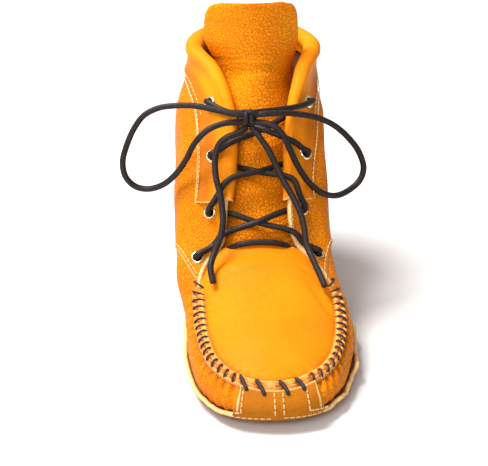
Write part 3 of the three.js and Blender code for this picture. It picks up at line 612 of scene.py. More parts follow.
def mix(nodes, links, factor, a, b, mode="MIX"):
    node = nodes.new("ShaderNodeMix")
    node.data_type = "RGBA"
    node.blend_type = mode
    for socket, value in ((node.inputs["Factor"], factor), (node.inputs["A"], a), (node.inputs["B"], b)):
        if isinstance(value, bpy.types.NodeSocket):
            links.new(value, socket)
        else:
            socket.default_value = (*value, 1) if isinstance(value, tuple) else value
    return node.outputs["Result"]


def add_bump(nodes, links, height, distance, strength, below=None):
    bump = nodes.new("ShaderNodeBump")
    bump.inputs["Distance"].default_value = distance
    bump.inputs["Strength"].default_value = strength
    links.new(height, bump.inputs["Height"])
    if below:
        links.new(below, bump.inputs["Normal"])
    return bump.outputs["Normal"]


def mask(nodes, name):
    node = nodes.new("ShaderNodeAttribute")
    node.attribute_name = name
    return node.outputs["Fac"]


CREAM = (0.9, 0.66, 0.31)
CREAM_FIBRE = (0.8, 0.47, 0.15)
# Colour of the painted shade in creases, grooves and folds.
PAINTED_SHADE_BROWN = (0.3, 0.06, 0.002)
CUT_SUEDE = (0.72, 0.5, 0.36)
FULL_RELIEF = 0.0009
FINE_RELIEF = 0.00012
PEBBLE_WARP = 0.0022


def grain_hide(name, light, deep, pebble, relief, roughness, wrinkles=0.0):
    """Tanned hide: mottled colour and pebbled grain; pale where it is cut, with a painted highlight on the
    toe seam's lumps; painted shade in its folds, creases and grooves and low on the cuff's face.
    """
    material, nodes, links, shader = new_material(name)
    place = nodes.new("ShaderNodeTexCoord").outputs["Object"]
    blotch = value_noise(nodes, links, place, 22, 3)
    colour = ramp(nodes, links, blotch, [(0.3, deep), (0.68, light)])
    fine = value_noise(nodes, links, place, 240, 5, 0.65)
    fine_tone = ramp(nodes, links, fine, [(0.3, 0.86), (0.7, 1.0)])
    colour = mix(nodes, links, 0.6, colour, fine_tone, "MULTIPLY")
    cells = nodes.new("ShaderNodeTexVoronoi")
    cells.feature = "DISTANCE_TO_EDGE"
    cells.inputs["Scale"].default_value = pebble
    bend = value_noise(nodes, links, place, pebble * 0.4, 2)
    warp = nodes.new("ShaderNodeVectorMath")
    warp.operation = "MULTIPLY_ADD"
    warp.inputs[1].default_value = (PEBBLE_WARP, PEBBLE_WARP, PEBBLE_WARP)
    links.new(bend, warp.inputs[0])
    links.new(place, warp.inputs[2])
    links.new(warp.outputs["Vector"], cells.inputs["Vector"])
    valley = ramp(nodes, links, cells.outputs["Distance"], [(0.0, 0.0), (0.14, 0.9), (0.4, 1.0)])
    shade = ramp(nodes, links, cells.outputs["Distance"], [(0.0, 0.62), (0.12, 1.0)])
    colour = mix(nodes, links, min(1.0, relief / FULL_RELIEF), colour, shade, "MULTIPLY")
    # Painted shade: brown mixed in where the hide lies in creases, grooves and folds, and low on the cuff's
    # face.
    colour = mix(nodes, links, mask(nodes, "painted_shade"), colour, PAINTED_SHADE_BROWN)
    fibre = value_noise(nodes, links, place, 900, 4, 0.7)
    cut = ramp(nodes, links, fibre, [(0.3, CREAM_FIBRE), (0.62, CREAM)])
    # Cream of the cut edges, and a painted highlight that makes the toe seam's lumps paler.
    colour = mix(nodes, links, mask(nodes, "raw_edge_and_highlight"), colour, cut)
    links.new(colour, shader.inputs["Base Color"])
    gloss = nodes.new("ShaderNodeMapRange")
    gloss.inputs["To Min"].default_value = roughness - 0.07
    gloss.inputs["To Max"].default_value = roughness + 0.1
    links.new(fine, gloss.inputs["Value"])
    links.new(gloss.outputs["Result"], shader.inputs["Roughness"])
    normal = add_bump(nodes, links, valley, relief, 0.8)
    if wrinkles:
        lines = value_noise(nodes, links, place, 150, 5, 0.6, stretch=(0.5, 1.4, 2.6))
        normal = add_bump(nodes, links, lines, wrinkles, 0.7, normal)
    normal = add_bump(nodes, links, fine, FINE_RELIEF, 0.5, normal)
    links.new(normal, shader.inputs["Normal"])
    shader.inputs["Specular IOR Level"].default_value = 0.09
    return material


def suede_hide(name, light, deep):
    """Flesh side of the hide: matt, brown and fuzzy."""
    material, nodes, links, shader = new_material(name)
    place = nodes.new("ShaderNodeTexCoord").outputs["Object"]
    nap = value_noise(nodes, links, place, 700, 6, 0.75)
    cloud = value_noise(nodes, links, place, 45, 4, 0.6)
    colour = ramp(nodes, links, cloud, [(0.35, deep), (0.65, light)])
    speck = ramp(nodes, links, nap, [(0.35, 0.55), (0.62, 1.0)])
    colour = mix(nodes, links, 0.75, colour, speck, "MULTIPLY")
    colour = mix(nodes, links, mask(nodes, "raw_edge_and_highlight"), colour, CUT_SUEDE)
    links.new(colour, shader.inputs["Base Color"])
    shader.inputs["Roughness"].default_value = 0.95
    shader.inputs["Sheen Weight"].default_value = 0.1
    shader.inputs["Sheen Roughness"].default_value = 0.6
    links.new(add_bump(nodes, links, nap, 0.0005, 0.8), shader.inputs["Normal"])
    return material


def thread_material(name, light, deep, roughness, twist):
    material, nodes, links, shader = new_material(name)
    place = nodes.new("ShaderNodeTexCoord").outputs["Object"]
    fibre = value_noise(nodes, links, place, twist, 4, 0.7)
    links.new(ramp(nodes, links, fibre, [(0.35, deep), (0.65, light)]), shader.inputs["Base Color"])
    shader.inputs["Roughness"].default_value = roughness
    shader.inputs["Specular IOR Level"].default_value = 0.25
    links.new(add_bump(nodes, links, fibre, 0.0002, 0.7), shader.inputs["Normal"])
    return material


def metal_material(name, light, deep):
    material, nodes, links, shader = new_material(name)
    place = nodes.new("ShaderNodeTexCoord").outputs["Object"]
    wear = value_noise(nodes, links, place, 500, 4)
    links.new(ramp(nodes, links, wear, [(0.3, deep), (0.6, light)]), shader.inputs["Base Color"])
    shader.inputs["Metallic"].default_value = 1.0
    rough = nodes.new("ShaderNodeMapRange")
    rough.inputs["To Min"].default_value = 0.18
    rough.inputs["To Max"].default_value = 0.36
    links.new(wear, rough.inputs["Value"])
    links.new(rough.outputs["Result"], shader.inputs["Roughness"])
    return material


GOLD = grain_hide("golden_hide", (0.87, 0.255, 0.0016), (0.72, 0.175, 0.001), 560, 0.0006, 0.5, 0.0007)
PLUG = grain_hide("plug_hide", (0.95, 0.27, 0.0014), (0.9, 0.22, 0.0012), 900, 0.00018, 0.46)
SOLE = grain_hide("sole_hide", (0.47, 0.15, 0.004), (0.38, 0.105, 0.002), 760, 0.00022, 0.6)
CUFF = grain_hide("cuff_hide", (0.95, 0.29, 0.003), (0.86, 0.22, 0.002), 700, 0.0002, 0.42)
SUEDE = suede_hide("suede", (0.34, 0.11, 0.01), (0.17, 0.045, 0.004))
TONGUE_SUEDE = suede_hide("tongue_suede", (0.6, 0.17, 0.006), (0.4, 0.1, 0.004))
TONGUE = grain_hide("tongue_hide", (0.95, 0.29, 0.0014), (0.86, 0.215, 0.001), 480, 0.0006, 0.5, 0.0003)
DARK_THREAD = thread_material("dark_thread", (0.04, 0.03, 0.034), (0.014, 0.011, 0.013), 0.6, 1500)
CREAM_THREAD = thread_material("cream_thread", (0.85, 0.6, 0.3), (0.6, 0.35, 0.12), 0.7, 1500)
LACE = thread_material("lace_hide", (0.022, 0.015, 0.014), (0.009, 0.006, 0.006), 0.5, 420)
NICKEL = metal_material("nickel", (0.9, 0.76, 0.5), (0.66, 0.5, 0.28))


# Camera, at the photograph's angle and distance, turned to centre the one boot
PHOTO_SIZE = (488, 466)
PHOTO_FOCAL_PIXELS = 2219.4
CAMERA_AZIMUTH = -4.0
CAMERA_ELEVATION = 25.0
CAMERA_DISTANCE = 1400
CAMERA_TARGET = np.array([0, 0, 70])
CAMERA_ASIDE = (-52.39, -6.28)
BOOT_MIDDLE_PIXELS = 64
SENSOR = 36


def make_camera():
    a, e = math.radians(CAMERA_AZIMUTH), math.radians(CAMERA_ELEVATION)
    back = np.array([math.sin(a) * math.cos(e), -math.cos(a) * math.cos(e), math.sin(e)])
    right = np.array([math.cos(a), math.sin(a), 0])
    up = np.cross(back, right)
    place = CAMERA_TARGET + right * CAMERA_ASIDE[0] + up * CAMERA_ASIDE[1] + back * CAMERA_DISTANCE
    turn = math.atan(BOOT_MIDDLE_PIXELS / PHOTO_FOCAL_PIXELS)
    back, right = (back * math.cos(turn) - right * math.sin(turn),
                   right * math.cos(turn) + back * math.sin(turn))
    data = bpy.data.cameras.new("camera")
    data.sensor_width = SENSOR
    data.lens = PHOTO_FOCAL_PIXELS / PHOTO_SIZE[0] * SENSOR
    camera = bpy.data.objects.new("camera", data)
    rows = [[right[i], up[i], back[i], (place[i] + SHIFT[i]) * MM] for i in range(3)]
    camera.matrix_world = Matrix(rows + [[0, 0, 0, 1]])
    bpy.context.scene.collection.objects.link(camera)
    bpy.context.scene.camera = camera


make_camera()


# Lace

def eyelet_place(index, side):
    near, back = EYELETS[index]
    u = float(on_side(near, side))
    v = float(setback(u, back))
    lift = CUFF_GAP + CUFF_WALL if near > CUFF_END else 0
    return {"near": near, "u": u, "v": v, "lift": lift,
            "axis": normal_at(u, v), "centre": skin(u, v, lift)}


PLACES = {(index, side): eyelet_place(index, side) for index in range(len(EYELETS)) for side in (-1, 1)}


def over_eyelet(place):
    return place["centre"] + place["axis"] * (EYELET_SEAT + EYELET_FLANGE + LACE_CLEAR + GAP)


def over_rim(near, side):
    bound = near > CUFF_END
    bulge = CUFF_THROAT_RADIUS - UPPER_WALL / 2 if bound else 0
    past = 0.6 * CUFF_THROAT_RADIUS if bound else 0
    return across_rim(float(on_side(near, side)), past, bulge + LACE_CLEAR + 2 * GAP)


def under_rim(near, side):
    bulge = CUFF_THROAT_RADIUS + UPPER_WALL / 2 if near > CUFF_END else UPPER_WALL
    return skin(float(on_side(near, side)), 3.0, -bulge - LACE_CLEAR - GAP)


def way_over(place, own_rim, side):
    """Over the wall, halfway from an eyelet to its rim."""
    near = (place["near"] + own_rim) / 2
    u = float(on_side(near, side))
    back = float(rim_distance(place["u"], place["v"]))
    lift = (CUFF_GAP + CUFF_WALL if own_rim > CUFF_END else 0) + LACE_CLEAR + 2 * GAP
    return skin(u, float(setback(u, back / 2)), lift)


def through_eyelet(place):
    """From over an eyelet down its hole to under the hide."""
    depth = UPPER_WALL + place["lift"]
    under = place["centre"] - place["axis"] * (depth + LACE_CLEAR)
    within = place["centre"] - place["axis"] * depth * 0.5
    return [over_eyelet(place) - place["axis"] * 0.4, within, under]


def crossing_middle(crossing):
    _, own_rim, other_rim, _ = crossing
    over = [over_rim(own_rim, side) for side in (-1, 1)]
    under = [under_rim(other_rim, side) for side in (-1, 1)]
    return sum(over + under) / 4


def crossing_strand(crossing, side):
    """From under the eyelet above on the other side to over the eyelet below on this side."""
    eyelet, own_rim, other_rim, over_side = crossing
    place = PLACES[(eyelet, side)]
    lift = CROSSING_FORWARD + 0.42 * LACE_DIAMETER * (1 if side == over_side else -1)
    return [
        under_rim(other_rim, -side), crossing_middle(crossing) + THROAT_FORWARD * lift,
        over_rim(own_rim, side), way_over(place, own_rim, side),
    ]


def half_lace(side):
    """From the knot, over the top eyelet on this side, to under the lowest eyelet."""
    aside, behind, above = KNOT_ENTRY
    knot_end = point(KNOT[0] + side * aside, KNOT[1] + behind, KNOT[2] + above)
    route = [knot_end, over_rim(TOP_STRAND_RIM[side], side), *through_eyelet(PLACES[(0, side)])]
    for crossing in reversed(CROSSINGS):
        side = -side
        route += [*crossing_strand(crossing, side), *through_eyelet(PLACES[(crossing[0], side)])]
    return route, side


def laced_route():
    first, end_side = half_lace(-1)
    second, _ = half_lace(1)
    bar = [point(x * BALL_HALF, depth_of(along), rise_of(rise)) for along, x, rise in BAR_POINTS]
    bar = [under_rim(BAR_RIM, -1), *bar, under_rim(BAR_RIM, 1)]
    if end_side > 0:
        bar.reverse()
    return first + bar + second[::-1]


def make_laced():
    hide = Hide()
    add_tube(hide, spline(laced_route(), LACE_STEP), LACE_RADIUS * 0.96, LACE_SIDES, LACE_SQUARENESS)
    dress(hide.build("lace_laced", [LACE]), "lace_leather",
          "lace_bar", "lace_crossing_low", "lace_crossing_middle", "lace_crossing_high",
          "lace_top_inner", "lace_top_outer")


KNOT_WRAPS = [
    # aside, lean
    (-2.6, 0.5),
    (1.0, -0.3),
]
KNOT_TOP = [
    # aside, behind and above the knot's middle
    (-3.5, 1.0, 3.4), (-1.0, -1.6, 4.6), (2.2, -2.0, 4.3),
    (4.2, -1.2, 2.6), (4.0, 0.6, 0.6), (2.0, 1.6, 0.4),
]


def make_knot():
    """Two wraps round the bow's middle and a short turn over the top."""
    hide = Hide()
    middle = point(*KNOT)
    turn = np.linspace(0, 2 * math.pi, 44, endpoint=False)
    for aside, lean in KNOT_WRAPS:
        ring = np.stack([
            aside + lean * np.sin(turn), -2.4 * np.cos(turn) - 0.3, 4.0 * np.sin(turn) - 0.4,
        ], -1)
        add_tube(hide, middle + ring, LACE_RADIUS * 0.94, KNOT_SIDES, LACE_SQUARENESS, closed=True)
    over = spline(middle + np.array(KNOT_TOP), 0.7)
    add_tube(hide, over, LACE_RADIUS * 0.85, KNOT_SIDES, LACE_SQUARENESS)
    return dress(hide.build("lace_bow_knot", [LACE]), "lace_leather", "lace_knot")


def make_free_laces():
    for name, route in LACE_ROUTES.items():
        path = spline([point(*place) for place in route], LACE_STEP)
        hide = Hide()
        add_tube(hide, path, LACE_RADIUS, LACE_SIDES, LACE_SQUARENESS, tip=0.25)
        piece = dress(hide.build(name.replace("lace", "bow"), [LACE]), "lace_leather", name)
        path = (path + SHIFT) * MM


make_laced()
BOW_KNOT = make_knot()
make_free_laces()


# Upper

def around(fine, coarse, fine_to):
    """Stations round the loop: close together at the toe seam, wider apart behind it."""
    front = np.arange(0, fine_to, 1 / fine)
    rear = np.arange(fine_to, HEEL_RIB, 1 / coarse)
    near = np.concatenate([front, rear])
    return np.concatenate([near, [HEEL_RIB], LOOP_COUNT - near[:0:-1]])


PUCKERS = {
    # depth at the seam, how far down it fades, and the rib where it is deepest with its spread
    -1: (3.4, 17, 2.4, 1.8),
    1: (3.0, 15, 3.4, 2.3),
}
EDGE_LINE = 3.7
QUARTER_STEP = 0.9
QUARTER_FRONT = 7.12
QUARTER_SLANT = 0.8


def quarter_edge(v):
    """Station of the quarter's front edge, which slants back toward the sole."""
    return QUARTER_FRONT + (3 - v) * QUARTER_SLANT


def behind_ball(near):
    """0 at the ball of the foot, rising to 1 behind it, where the sole's edge is calmer."""
    return smooth((near - 5) / 2.5)


def sole_edge(u):
    """How far up the ribs the sole wraps: a low wavy edge and the tab up the toe."""
    near, side = from_toe(u), side_of(u)
    tab = np.where(side > 0, TAB_RIB[1], TAB_RIB[-1])
    wave = SOLE_WAVE * (np.sin(near * 4.1 + side) * (1 - 0.7 * behind_ball(near))
                        + np.sin(near * 1.7 + 2 * side)) / 2
    low = loop_row(np.asarray(u, float))[..., -1] + wave * smooth((near - tab) / 1.5)
    top = setback(u, np.full(near.shape, LIP_REACH + GAP))
    t = np.clip((near - tab) / TAB_SIDE_WIDTH, 0, 1)
    return np.where(near <= tab, top, low + (top - low) * (1 - t) ** 2.4)


CREASES = [
    # side, near, v, near, v, depth, width
    (-1, 8.6, 1.25, 11.6, 1.75, 0.9, 4.5),
    (-1, 9.4, 1.75, 12.2, 2.0, 0.7, 4.0),
    (-1, 9.9, 2.1, 13.0, 2.25, 0.5, 3.5),
    (1, 8.4, 1.3, 11.4, 1.7, 0.9, 4.5),
    (1, 9.2, 1.8, 12.0, 1.95, 0.8, 4.0),
    (1, 10.6, 2.35, 13.4, 2.15, 0.5, 4.0),
    (1, 4.2, 1.75, 5.6, 1.4, 0.8, 2.6),
    (1, 5.2, 1.9, 6.9, 1.5, 0.9, 3.0),
    (-1, 4.4, 1.8, 5.9, 1.45, 0.6, 2.6),
]


def crease_lift(points):
    """Soft troughs along listed lines, each with a low ridge beside it."""
    lift = np.zeros(points.shape[:-1])
    for side, near_a, v_a, near_b, v_b, depth, width in CREASES:
        t = np.linspace(0, 1, 14)
        line = surface(on_side(near_a + (near_b - near_a) * t, side),
                       v_a + (v_b - v_a) * t + 0.08 * np.sin(3 * t))
        box_low, box_high = line.min(0) - 4 * width, line.max(0) + 4 * width
        near_it = ((points > box_low) & (points < box_high)).all(-1)
        here = points[near_it]
        if not len(here):
            continue
        gaps = np.linalg.norm(here[:, None] - line[None], axis=-1)
        nearest, distance = gaps.argmin(1), gaps.min(1)
        fade = np.sin(math.pi * (nearest + 0.5) / len(t)) ** 0.6
        shape = 0.45 * hill(distance - 2 * width, width) - hill(distance, width)
        lift[near_it] += depth * fade * shape
    return lift


def upper_relief(u, v, points):
    """Lift of the upper's outside, with its pale mask, which holds the cut edges and a painted highlight on
    the seam's lumps, and its mask of painted shade.
    """
    near, side = from_toe(u), side_of(u)
    distance = rim_distance(u, v)
    share, gather = lip_share(near), between_stitches(u)
    slope = smooth((LIP_REACH - distance) / SEAM_SLOPE_WIDTH)
    crown = np.sin(math.pi * np.clip(distance / LIP_REACH, 0, 1))
    lip = share * (SEAM_LIP * slope + crown * (1.5 * gather - 1.1 * (1 - gather) ** 2))
    lip -= share * 0.7 * hill(distance, 0.5)
    lip += share * 0.5 * hill(distance - EDGE_LINE, 0.6)
    below = np.maximum(distance - LIP_REACH, 0)
    folds = np.zeros_like(lip)
    for turn, (depth, reach, middle, spread) in PUCKERS.items():
        strength = depth * (0.3 + 0.7 * hill(near - middle, spread))
        bend = 0.25 * np.sin(0.35 * below + 5 * near)
        groove = between_stitches(u + bend / 14) - 1
        fine = 0.35 * (between_stitches(u + 0.5 * bend / 14) ** 4 - 0.5)
        fold = strength * (0.62 * groove - 0.3 * fine) * np.exp(-below / reach)
        folds = np.where(side == turn, fold, folds)
    folds *= share * smooth(below / 1.5)
    free = smooth((v - sole_edge(u) - 0.02) / 0.15)
    quarter = smooth((near - quarter_edge(v)) / 0.05) * free
    soft = 0.45 * ripple(points, 42, 0) + 0.2 * ripple(points, 16, 1)
    soft = np.minimum(soft, 0.6) * free
    under_cuff = smooth((near - CUFF_END + 0.9) / 0.3) * smooth((CUFF_FACE + 4 - distance) / 4)
    heel = np.linalg.norm(points - surface(np.full_like(u, HEEL_RIB), v), axis=-1)
    back_seam = -0.8 * hill(heel, 1.3)
    lift = lip + folds + QUARTER_STEP * quarter + soft * (1 - under_cuff) * (1 - 0.7 * slope * share)
    lift += crease_lift(points) * free * (1 - under_cuff) + back_seam
    throat = smooth((near - THROAT_BASE + 0.3) / 0.3) * smooth((CUFF_END + 0.1 - near) / 0.1)
    edge = hill(distance - EDGE_LINE, 0.62) * share
    step = hill(near - quarter_edge(v) - 0.01, 0.035) * free
    # Painted highlight: the toe seam's lumps between the stitches are made paler.
    lump_highlight = 0.5 * share * gather * smooth((2.6 - distance) / 1.0)
    raw_edge_and_highlight = np.clip(throat * smooth((2.2 - distance) / 0.9) + 0.85 * edge + lump_highlight + 0.7 * step, 0, 1)
    # Painted shade: darker in the grooves where the stitches pull the hide in, along the crease below the
    # lip, along the back seam's groove and just ahead of the quarter's edge.
    painted_shade = np.clip(0.8 * share * (1 - gather) ** 3 * np.exp(-below / 5), 0, 0.7)
    painted_shade = np.maximum(painted_shade, 0.55 * share * hill(distance - LIP_REACH - 0.9, 0.7))
    painted_shade = np.maximum(painted_shade, 0.6 * hill(heel, 0.9))
    painted_shade = np.maximum(painted_shade, 0.5 * free * hill(near - quarter_edge(v) + 0.04, 0.04))
    return lift, raw_edge_and_highlight, painted_shade


def lip_levels(count):
    return LIP_REACH * (1 - np.linspace(0, 1, count + 1)[1:] ** 0.8)


def make_upper():
    u = around(40, 15, 7.6)
    foot = setback(u, np.full_like(u, LIP_REACH + 0.4))
    outer_v = [np.full_like(u, v)
               for v in (-1, -0.5, *np.linspace(0, 1, 8), *np.linspace(1, 2, 15)[1:])]
    outer_v += [2 + (foot - 2) * t for t in np.linspace(0, 1, 17)[1:]]
    outer_v += [setback(u, np.full_like(u, d)) for d in lip_levels(9)]
    outer_v = np.array(outer_v)
    columns = np.broadcast_to(u, outer_v.shape)
    base, normal = surface(columns, outer_v), normal_at(columns, outer_v)
    lift, raw_edge_and_highlight, painted_shade = upper_relief(columns, outer_v, base)
    outside = base + normal * lift[..., None]
    inner_v = np.array([np.full_like(u, v)
                        for v in (-1, *np.linspace(0, 1, 5), *np.linspace(1, 2, 8)[1:])]
                       + [2 + (foot - 2) * t for t in np.linspace(0, 1, 9)[1:]]
                       + [setback(u, np.full_like(u, d)) for d in (2.5, 0.0)])
    columns = np.broadcast_to(u, inner_v.shape)
    inside = skin(columns, inner_v, np.full(inner_v.shape, -UPPER_WALL))
    inside += normal_at(columns, inner_v) * (0.15 * ripple(inside, 9, 2))[..., None]
    back_line = surface(np.full_like(columns, HEEL_RIB), inner_v)
    heel = np.linalg.norm(inside - back_line, axis=-1) - UPPER_WALL
    patchy = 0.5 + 0.5 * ripple(inside, 14, 3)
    strip = smooth((2.0 - heel) / 0.8) * np.clip(0.55 + 0.7 * patchy, 0, 1) * (inner_v > 1.1)
    hide = Hide()
    rows_out = hide.grid(outside, raw_edge_and_highlight, painted_shade)
    rows_in = hide.grid(inside, strip)
    hide.quads(rows_out, ring=True)
    hide.quads(rows_in, ring=True, slot=1, flip=True)
    near = from_toe(u)
    bare = smooth((near - THROAT_BASE + 0.4) / 0.4)
    middle = (outside[-1] + inside[-1]) / 2 + 0.35 * unit(outside[-1] - outside[-2])
    rim = hide.grid(middle[None], raw_edge_and_highlight=np.maximum(bare, 0.8)[None])
    hide.quads(np.stack([rows_out[-1], rim[0], rows_in[-1]]), ring=True)
    hide.quads(np.stack([rows_in[0], rows_out[0]]), ring=True, slot=1)
    return dress(hide.build("upper_hide", [GOLD, SUEDE]), "upper_leather", "upper")


def make_sole():
    near = np.concatenate([
        np.arange(0, 1.6, 1 / 14), np.arange(1.6, 2.8, 1 / 60), np.arange(2.8, HEEL_RIB, 1 / 16),
    ])
    u = np.concatenate([near, [HEEL_RIB], LOOP_COUNT - near[:0:-1]])
    side, near = side_of(u), from_toe(u)
    tab = np.where(side > 0, TAB_RIB[1], TAB_RIB[-1])
    edge = sole_edge(u)
    wavy = 0.05 * np.sin(near * 9.3 + side) + 0.035 * np.sin(near * 17.1 + 2 * side)
    swing = 1 - 0.8 * behind_ball(near)
    wavy = wavy * np.where(side > 0, 1, 0.45) * swing
    edge = edge + wavy * smooth((near - tab - 0.3) / 0.5)
    flare = smooth((near - tab - 0.2) / 0.8) * np.where(side > 0, 1.3, 0.25)
    flare = flare * (0.75 + swing * (0.5 * np.sin(near * 5.3 + side) + 0.25 * np.sin(near * 13.7)))
    t = np.concatenate([[-1, -0.5], np.linspace(0, 1, 20)])
    rows = np.where(t[:, None] < 0, t[:, None], edge[None] * np.maximum(t[:, None], 0))
    columns = np.broadcast_to(u, rows.shape)
    out = flare[None] * smooth((t[:, None] - 0.45) / 0.55)
    hide = Hide()
    layers = []
    for lift in (SKIN, GAP):
        base, normal = surface(columns, rows), normal_at(columns, rows)
        soft = 0.25 * ripple(base, 30, 4) * smooth(t[:, None] / 0.4) if lift == SKIN else 0
        points = base + normal * (lift + out + soft)[..., None]
        flat = np.broadcast_to(t[:, None] <= 0, rows.shape)
        level = bottom_height(points[..., 1] + BOOT_LENGTH / 2) - lift
        points[..., 2] = np.where(flat, level, points[..., 2])
        layers.append(points)
    outside, inside = layers
    height = np.linalg.norm(outside[-1][None] - outside, axis=-1)
    cut = smooth((0.9 - height) / 0.5)
    tab_side = (np.abs(near - tab - 0.03) < 0.05) & (rows > 1.05)
    cut = np.maximum(cut, 0.9 * tab_side)
    rows_out = hide.grid(outside, raw_edge_and_highlight=0.75 * cut)
    rows_in = hide.grid(inside, raw_edge_and_highlight=0)
    hide.quads(rows_out, ring=True)
    hide.quads(rows_in, ring=True, slot=1, flip=True)
    middle = (outside[-1] + inside[-1]) / 2 + 0.3 * unit(outside[-1] - outside[-2])
    rim = hide.grid(middle[None], raw_edge_and_highlight=1.0)
    hide.quads(np.stack([rows_out[-1], rim[0], rows_in[-1]]), ring=True)
    hide.quads(ladder(rows_out[0]))
    hide.quads(ladder(rows_in[0]), slot=1)
    dress(hide.build("sole_hide", [SOLE, SUEDE]), "sole_leather", "outsole")


# Plug

def plug_rows(near):
    """The plug's two edge points and its crown at each station."""
    near = np.asarray(near, float)
    gap = GAP + GAP * 2 * smooth(near - THROAT_BASE + 1)
    inner = across_rim(LOOP_COUNT - near, gap, np.zeros_like(near))
    outer = across_rim(near, gap, np.zeros_like(near))
    table = np.array([PLUG_CROWN[0], *PLUG_CROWN, PLUG_CROWN[-1]])
    i = np.clip(np.floor(near).astype(int), 0, len(PLUG_CROWN) - 2)
    a, b, c, d = (table[np.minimum(i + n, len(table) - 1)] for n in range(4))
    crown = catmull(a, b, c, d, near - i)
    return inner, outer, crown


def make_plug():
    near = THROAT_BASE * np.linspace(0.06, 1, 150) ** 1.5
    inner, outer, crown = plug_rows(near)
    rear = np.linspace(THROAT_BASE, PLUG_REAR_STATION, 24)[1:]
    tuck = smooth((rear - THROAT_BASE) / 0.35)
    under = -(UPPER_WALL + 0.9) * tuck
    sides = []
    for side in (-1, 1):
        u = on_side(rear, side)
        sides.append(skin(u, setback(u, 4 * tuck), under))
    inner, outer = np.concatenate([inner, sides[0]]), np.concatenate([outer, sides[1]])
    crown = np.concatenate([crown, np.interp(rear, *PLUG_REAR_CROWN)])
    half = np.linalg.norm(outer - inner, axis=1) / 2
    edge_steps = np.linspace(0, LIP_REACH + 0.6, 13)
    from_edge = np.minimum(edge_steps[None], half[:, None] * 0.6 * np.linspace(0, 1, 13)[None])
    shares = from_edge / half[:, None] - 1
    centre = np.linspace(0, 1, 26)[1:-1]
    between = shares[:, -1:] * (1 - centre[None]) - shares[:, -1:] * centre[None]
    w = np.concatenate([shares, between, -shares[:, ::-1]], axis=1)
    points = inner[:, None] + (outer - inner)[:, None] * ((1 + w) / 2)[..., None]
    points[..., 2] += crown[:, None] * SHAFT_HEIGHT * (1 - np.abs(w) ** PLUG_FULLNESS)
    normal = unit(np.cross(np.gradient(points, axis=1), np.gradient(points, axis=0)))
    seam_u = np.concatenate([LOOP_COUNT - SEAM_NEAR[:0:-1], SEAM_NEAR])
    seam_u = seam_u[from_toe(seam_u) <= THROAT_BASE]
    seam = across_rim(seam_u, GAP, 0)
    flat = points.reshape(-1, 3)
    nearest = np.concatenate([np.linalg.norm(part[:, None] - seam[None], axis=-1).argmin(1)
                              for part in np.array_split(flat, 12)])
    distance = np.linalg.norm(flat - seam[nearest], axis=-1).reshape(points.shape[:-1])
    station = seam_u[nearest].reshape(points.shape[:-1])
    share, gather = lip_share(from_toe(station)), between_stitches(station)
    slope = smooth((LIP_REACH - distance) / SEAM_SLOPE_WIDTH)
    bead = np.sin(math.pi * np.clip((distance + 0.4) / (LIP_REACH - 0.6), 0, 1))
    lift = share * (SEAM_LIP * slope + bead * (1.1 * gather - 1.1 * (1 - gather) ** 2))
    lift -= share * 0.5 * hill(distance, 0.5)
    lift += 0.35 * ripple(points, 55, 5) * (1 - slope * share)
    lift += 0.5 * (gather - 1) * np.exp(-np.maximum(distance - LIP_REACH, 0) / 3.5) * share
    lift += plug_wrinkles(points) * (1 - slope * share)
    # Painted highlight: the seam's lumps between the stitches are made paler; the second term is the cream
    # line of the plug's cut edge.
    raw_edge_and_highlight = share * (0.45 * gather * smooth(2.4 - distance) + 0.6 * hill(distance - 2.9, 0.5))
    rear_edge = np.zeros(points.shape[:-1])
    rear_edge[-1] = 1
    raw_edge_and_highlight = np.clip(raw_edge_and_highlight + rear_edge, 0, 1)
    # Painted shade: darker in the grooves at the stitches and along the crease on the plug's side of the
    # ridge.
    painted_shade = np.clip(share * 0.7 * (1 - gather) ** 2 * np.exp(-np.abs(distance - 3.4) / 1.6), 0, 0.6)
    painted_shade = np.maximum(painted_shade, 0.6 * share * hill(distance - LIP_REACH - 0.3, 0.55))
    top = points + normal * lift[..., None]
    under = points - normal * PLUG_WALL
    hide = Hide()
    rows_top, rows_under = hide.grid(top, raw_edge_and_highlight, painted_shade), hide.grid(under)
    hide.quads(rows_top, flip=True)
    hide.quads(rows_under, slot=1)
    hide.quads(np.stack([border(rows_under), border(rows_top)]), ring=True)
    dress(hide.build("plug_hide", [PLUG, SUEDE], sharp=60), "plug_leather", "plug")


PLUG_WRINKLES = [
    # x, depth, way across, way back, reach, amount
    (30, 92, 0.5, -0.86, 9, -1.1),
    (33, 84, 0.6, -0.8, 6, -0.9),
    (-30, 96, 0.5, 0.86, 8, -0.6),
    (8, 112, 1.0, 0.0, 14, -0.5),
    (-16, 110, 1.0, 0.1, 10, -0.4),
    (22, 108, 0.9, -0.4, 9, -0.6),
]


def plug_wrinkles(points):
    """Low folds near the plug's rear corners."""
    lift = np.zeros(points.shape[:-1])
    for x, depth, along_x, along_d, reach, amount in PLUG_WRINKLES:
        dx, dd = points[..., 0] - x, points[..., 1] + BOOT_LENGTH / 2 - depth
        along, aside = dx * along_x + dd * along_d, dd * along_x - dx * along_d
        lift += amount * hill(along, reach) * (1.5 * hill(aside, 2.0) - 0.4 * hill(aside - 4, 2.6))
    return lift


# Tongue

def tongue_row(t):
    i = np.clip(np.floor(t).astype(int), 0, len(TONGUE_ROWS) - 2)
    last = len(TONGUE_ROWS) - 1
    a, b, c, d = (TONGUE_ROWS[np.clip(i + n, 0, last)] for n in (-1, 0, 1, 2))
    return catmull(a, b, c, d, (t - i)[..., None])


def tongue_height(rise):
    """Height at a rise of 0 to 1 up to the collar and 1 to 2 above it."""
    above = COLLAR_HEIGHT + (rise - 1) * (TONGUE_HEIGHT - COLLAR_HEIGHT)
    return np.where(rise <= 1, rise_of(rise), above)


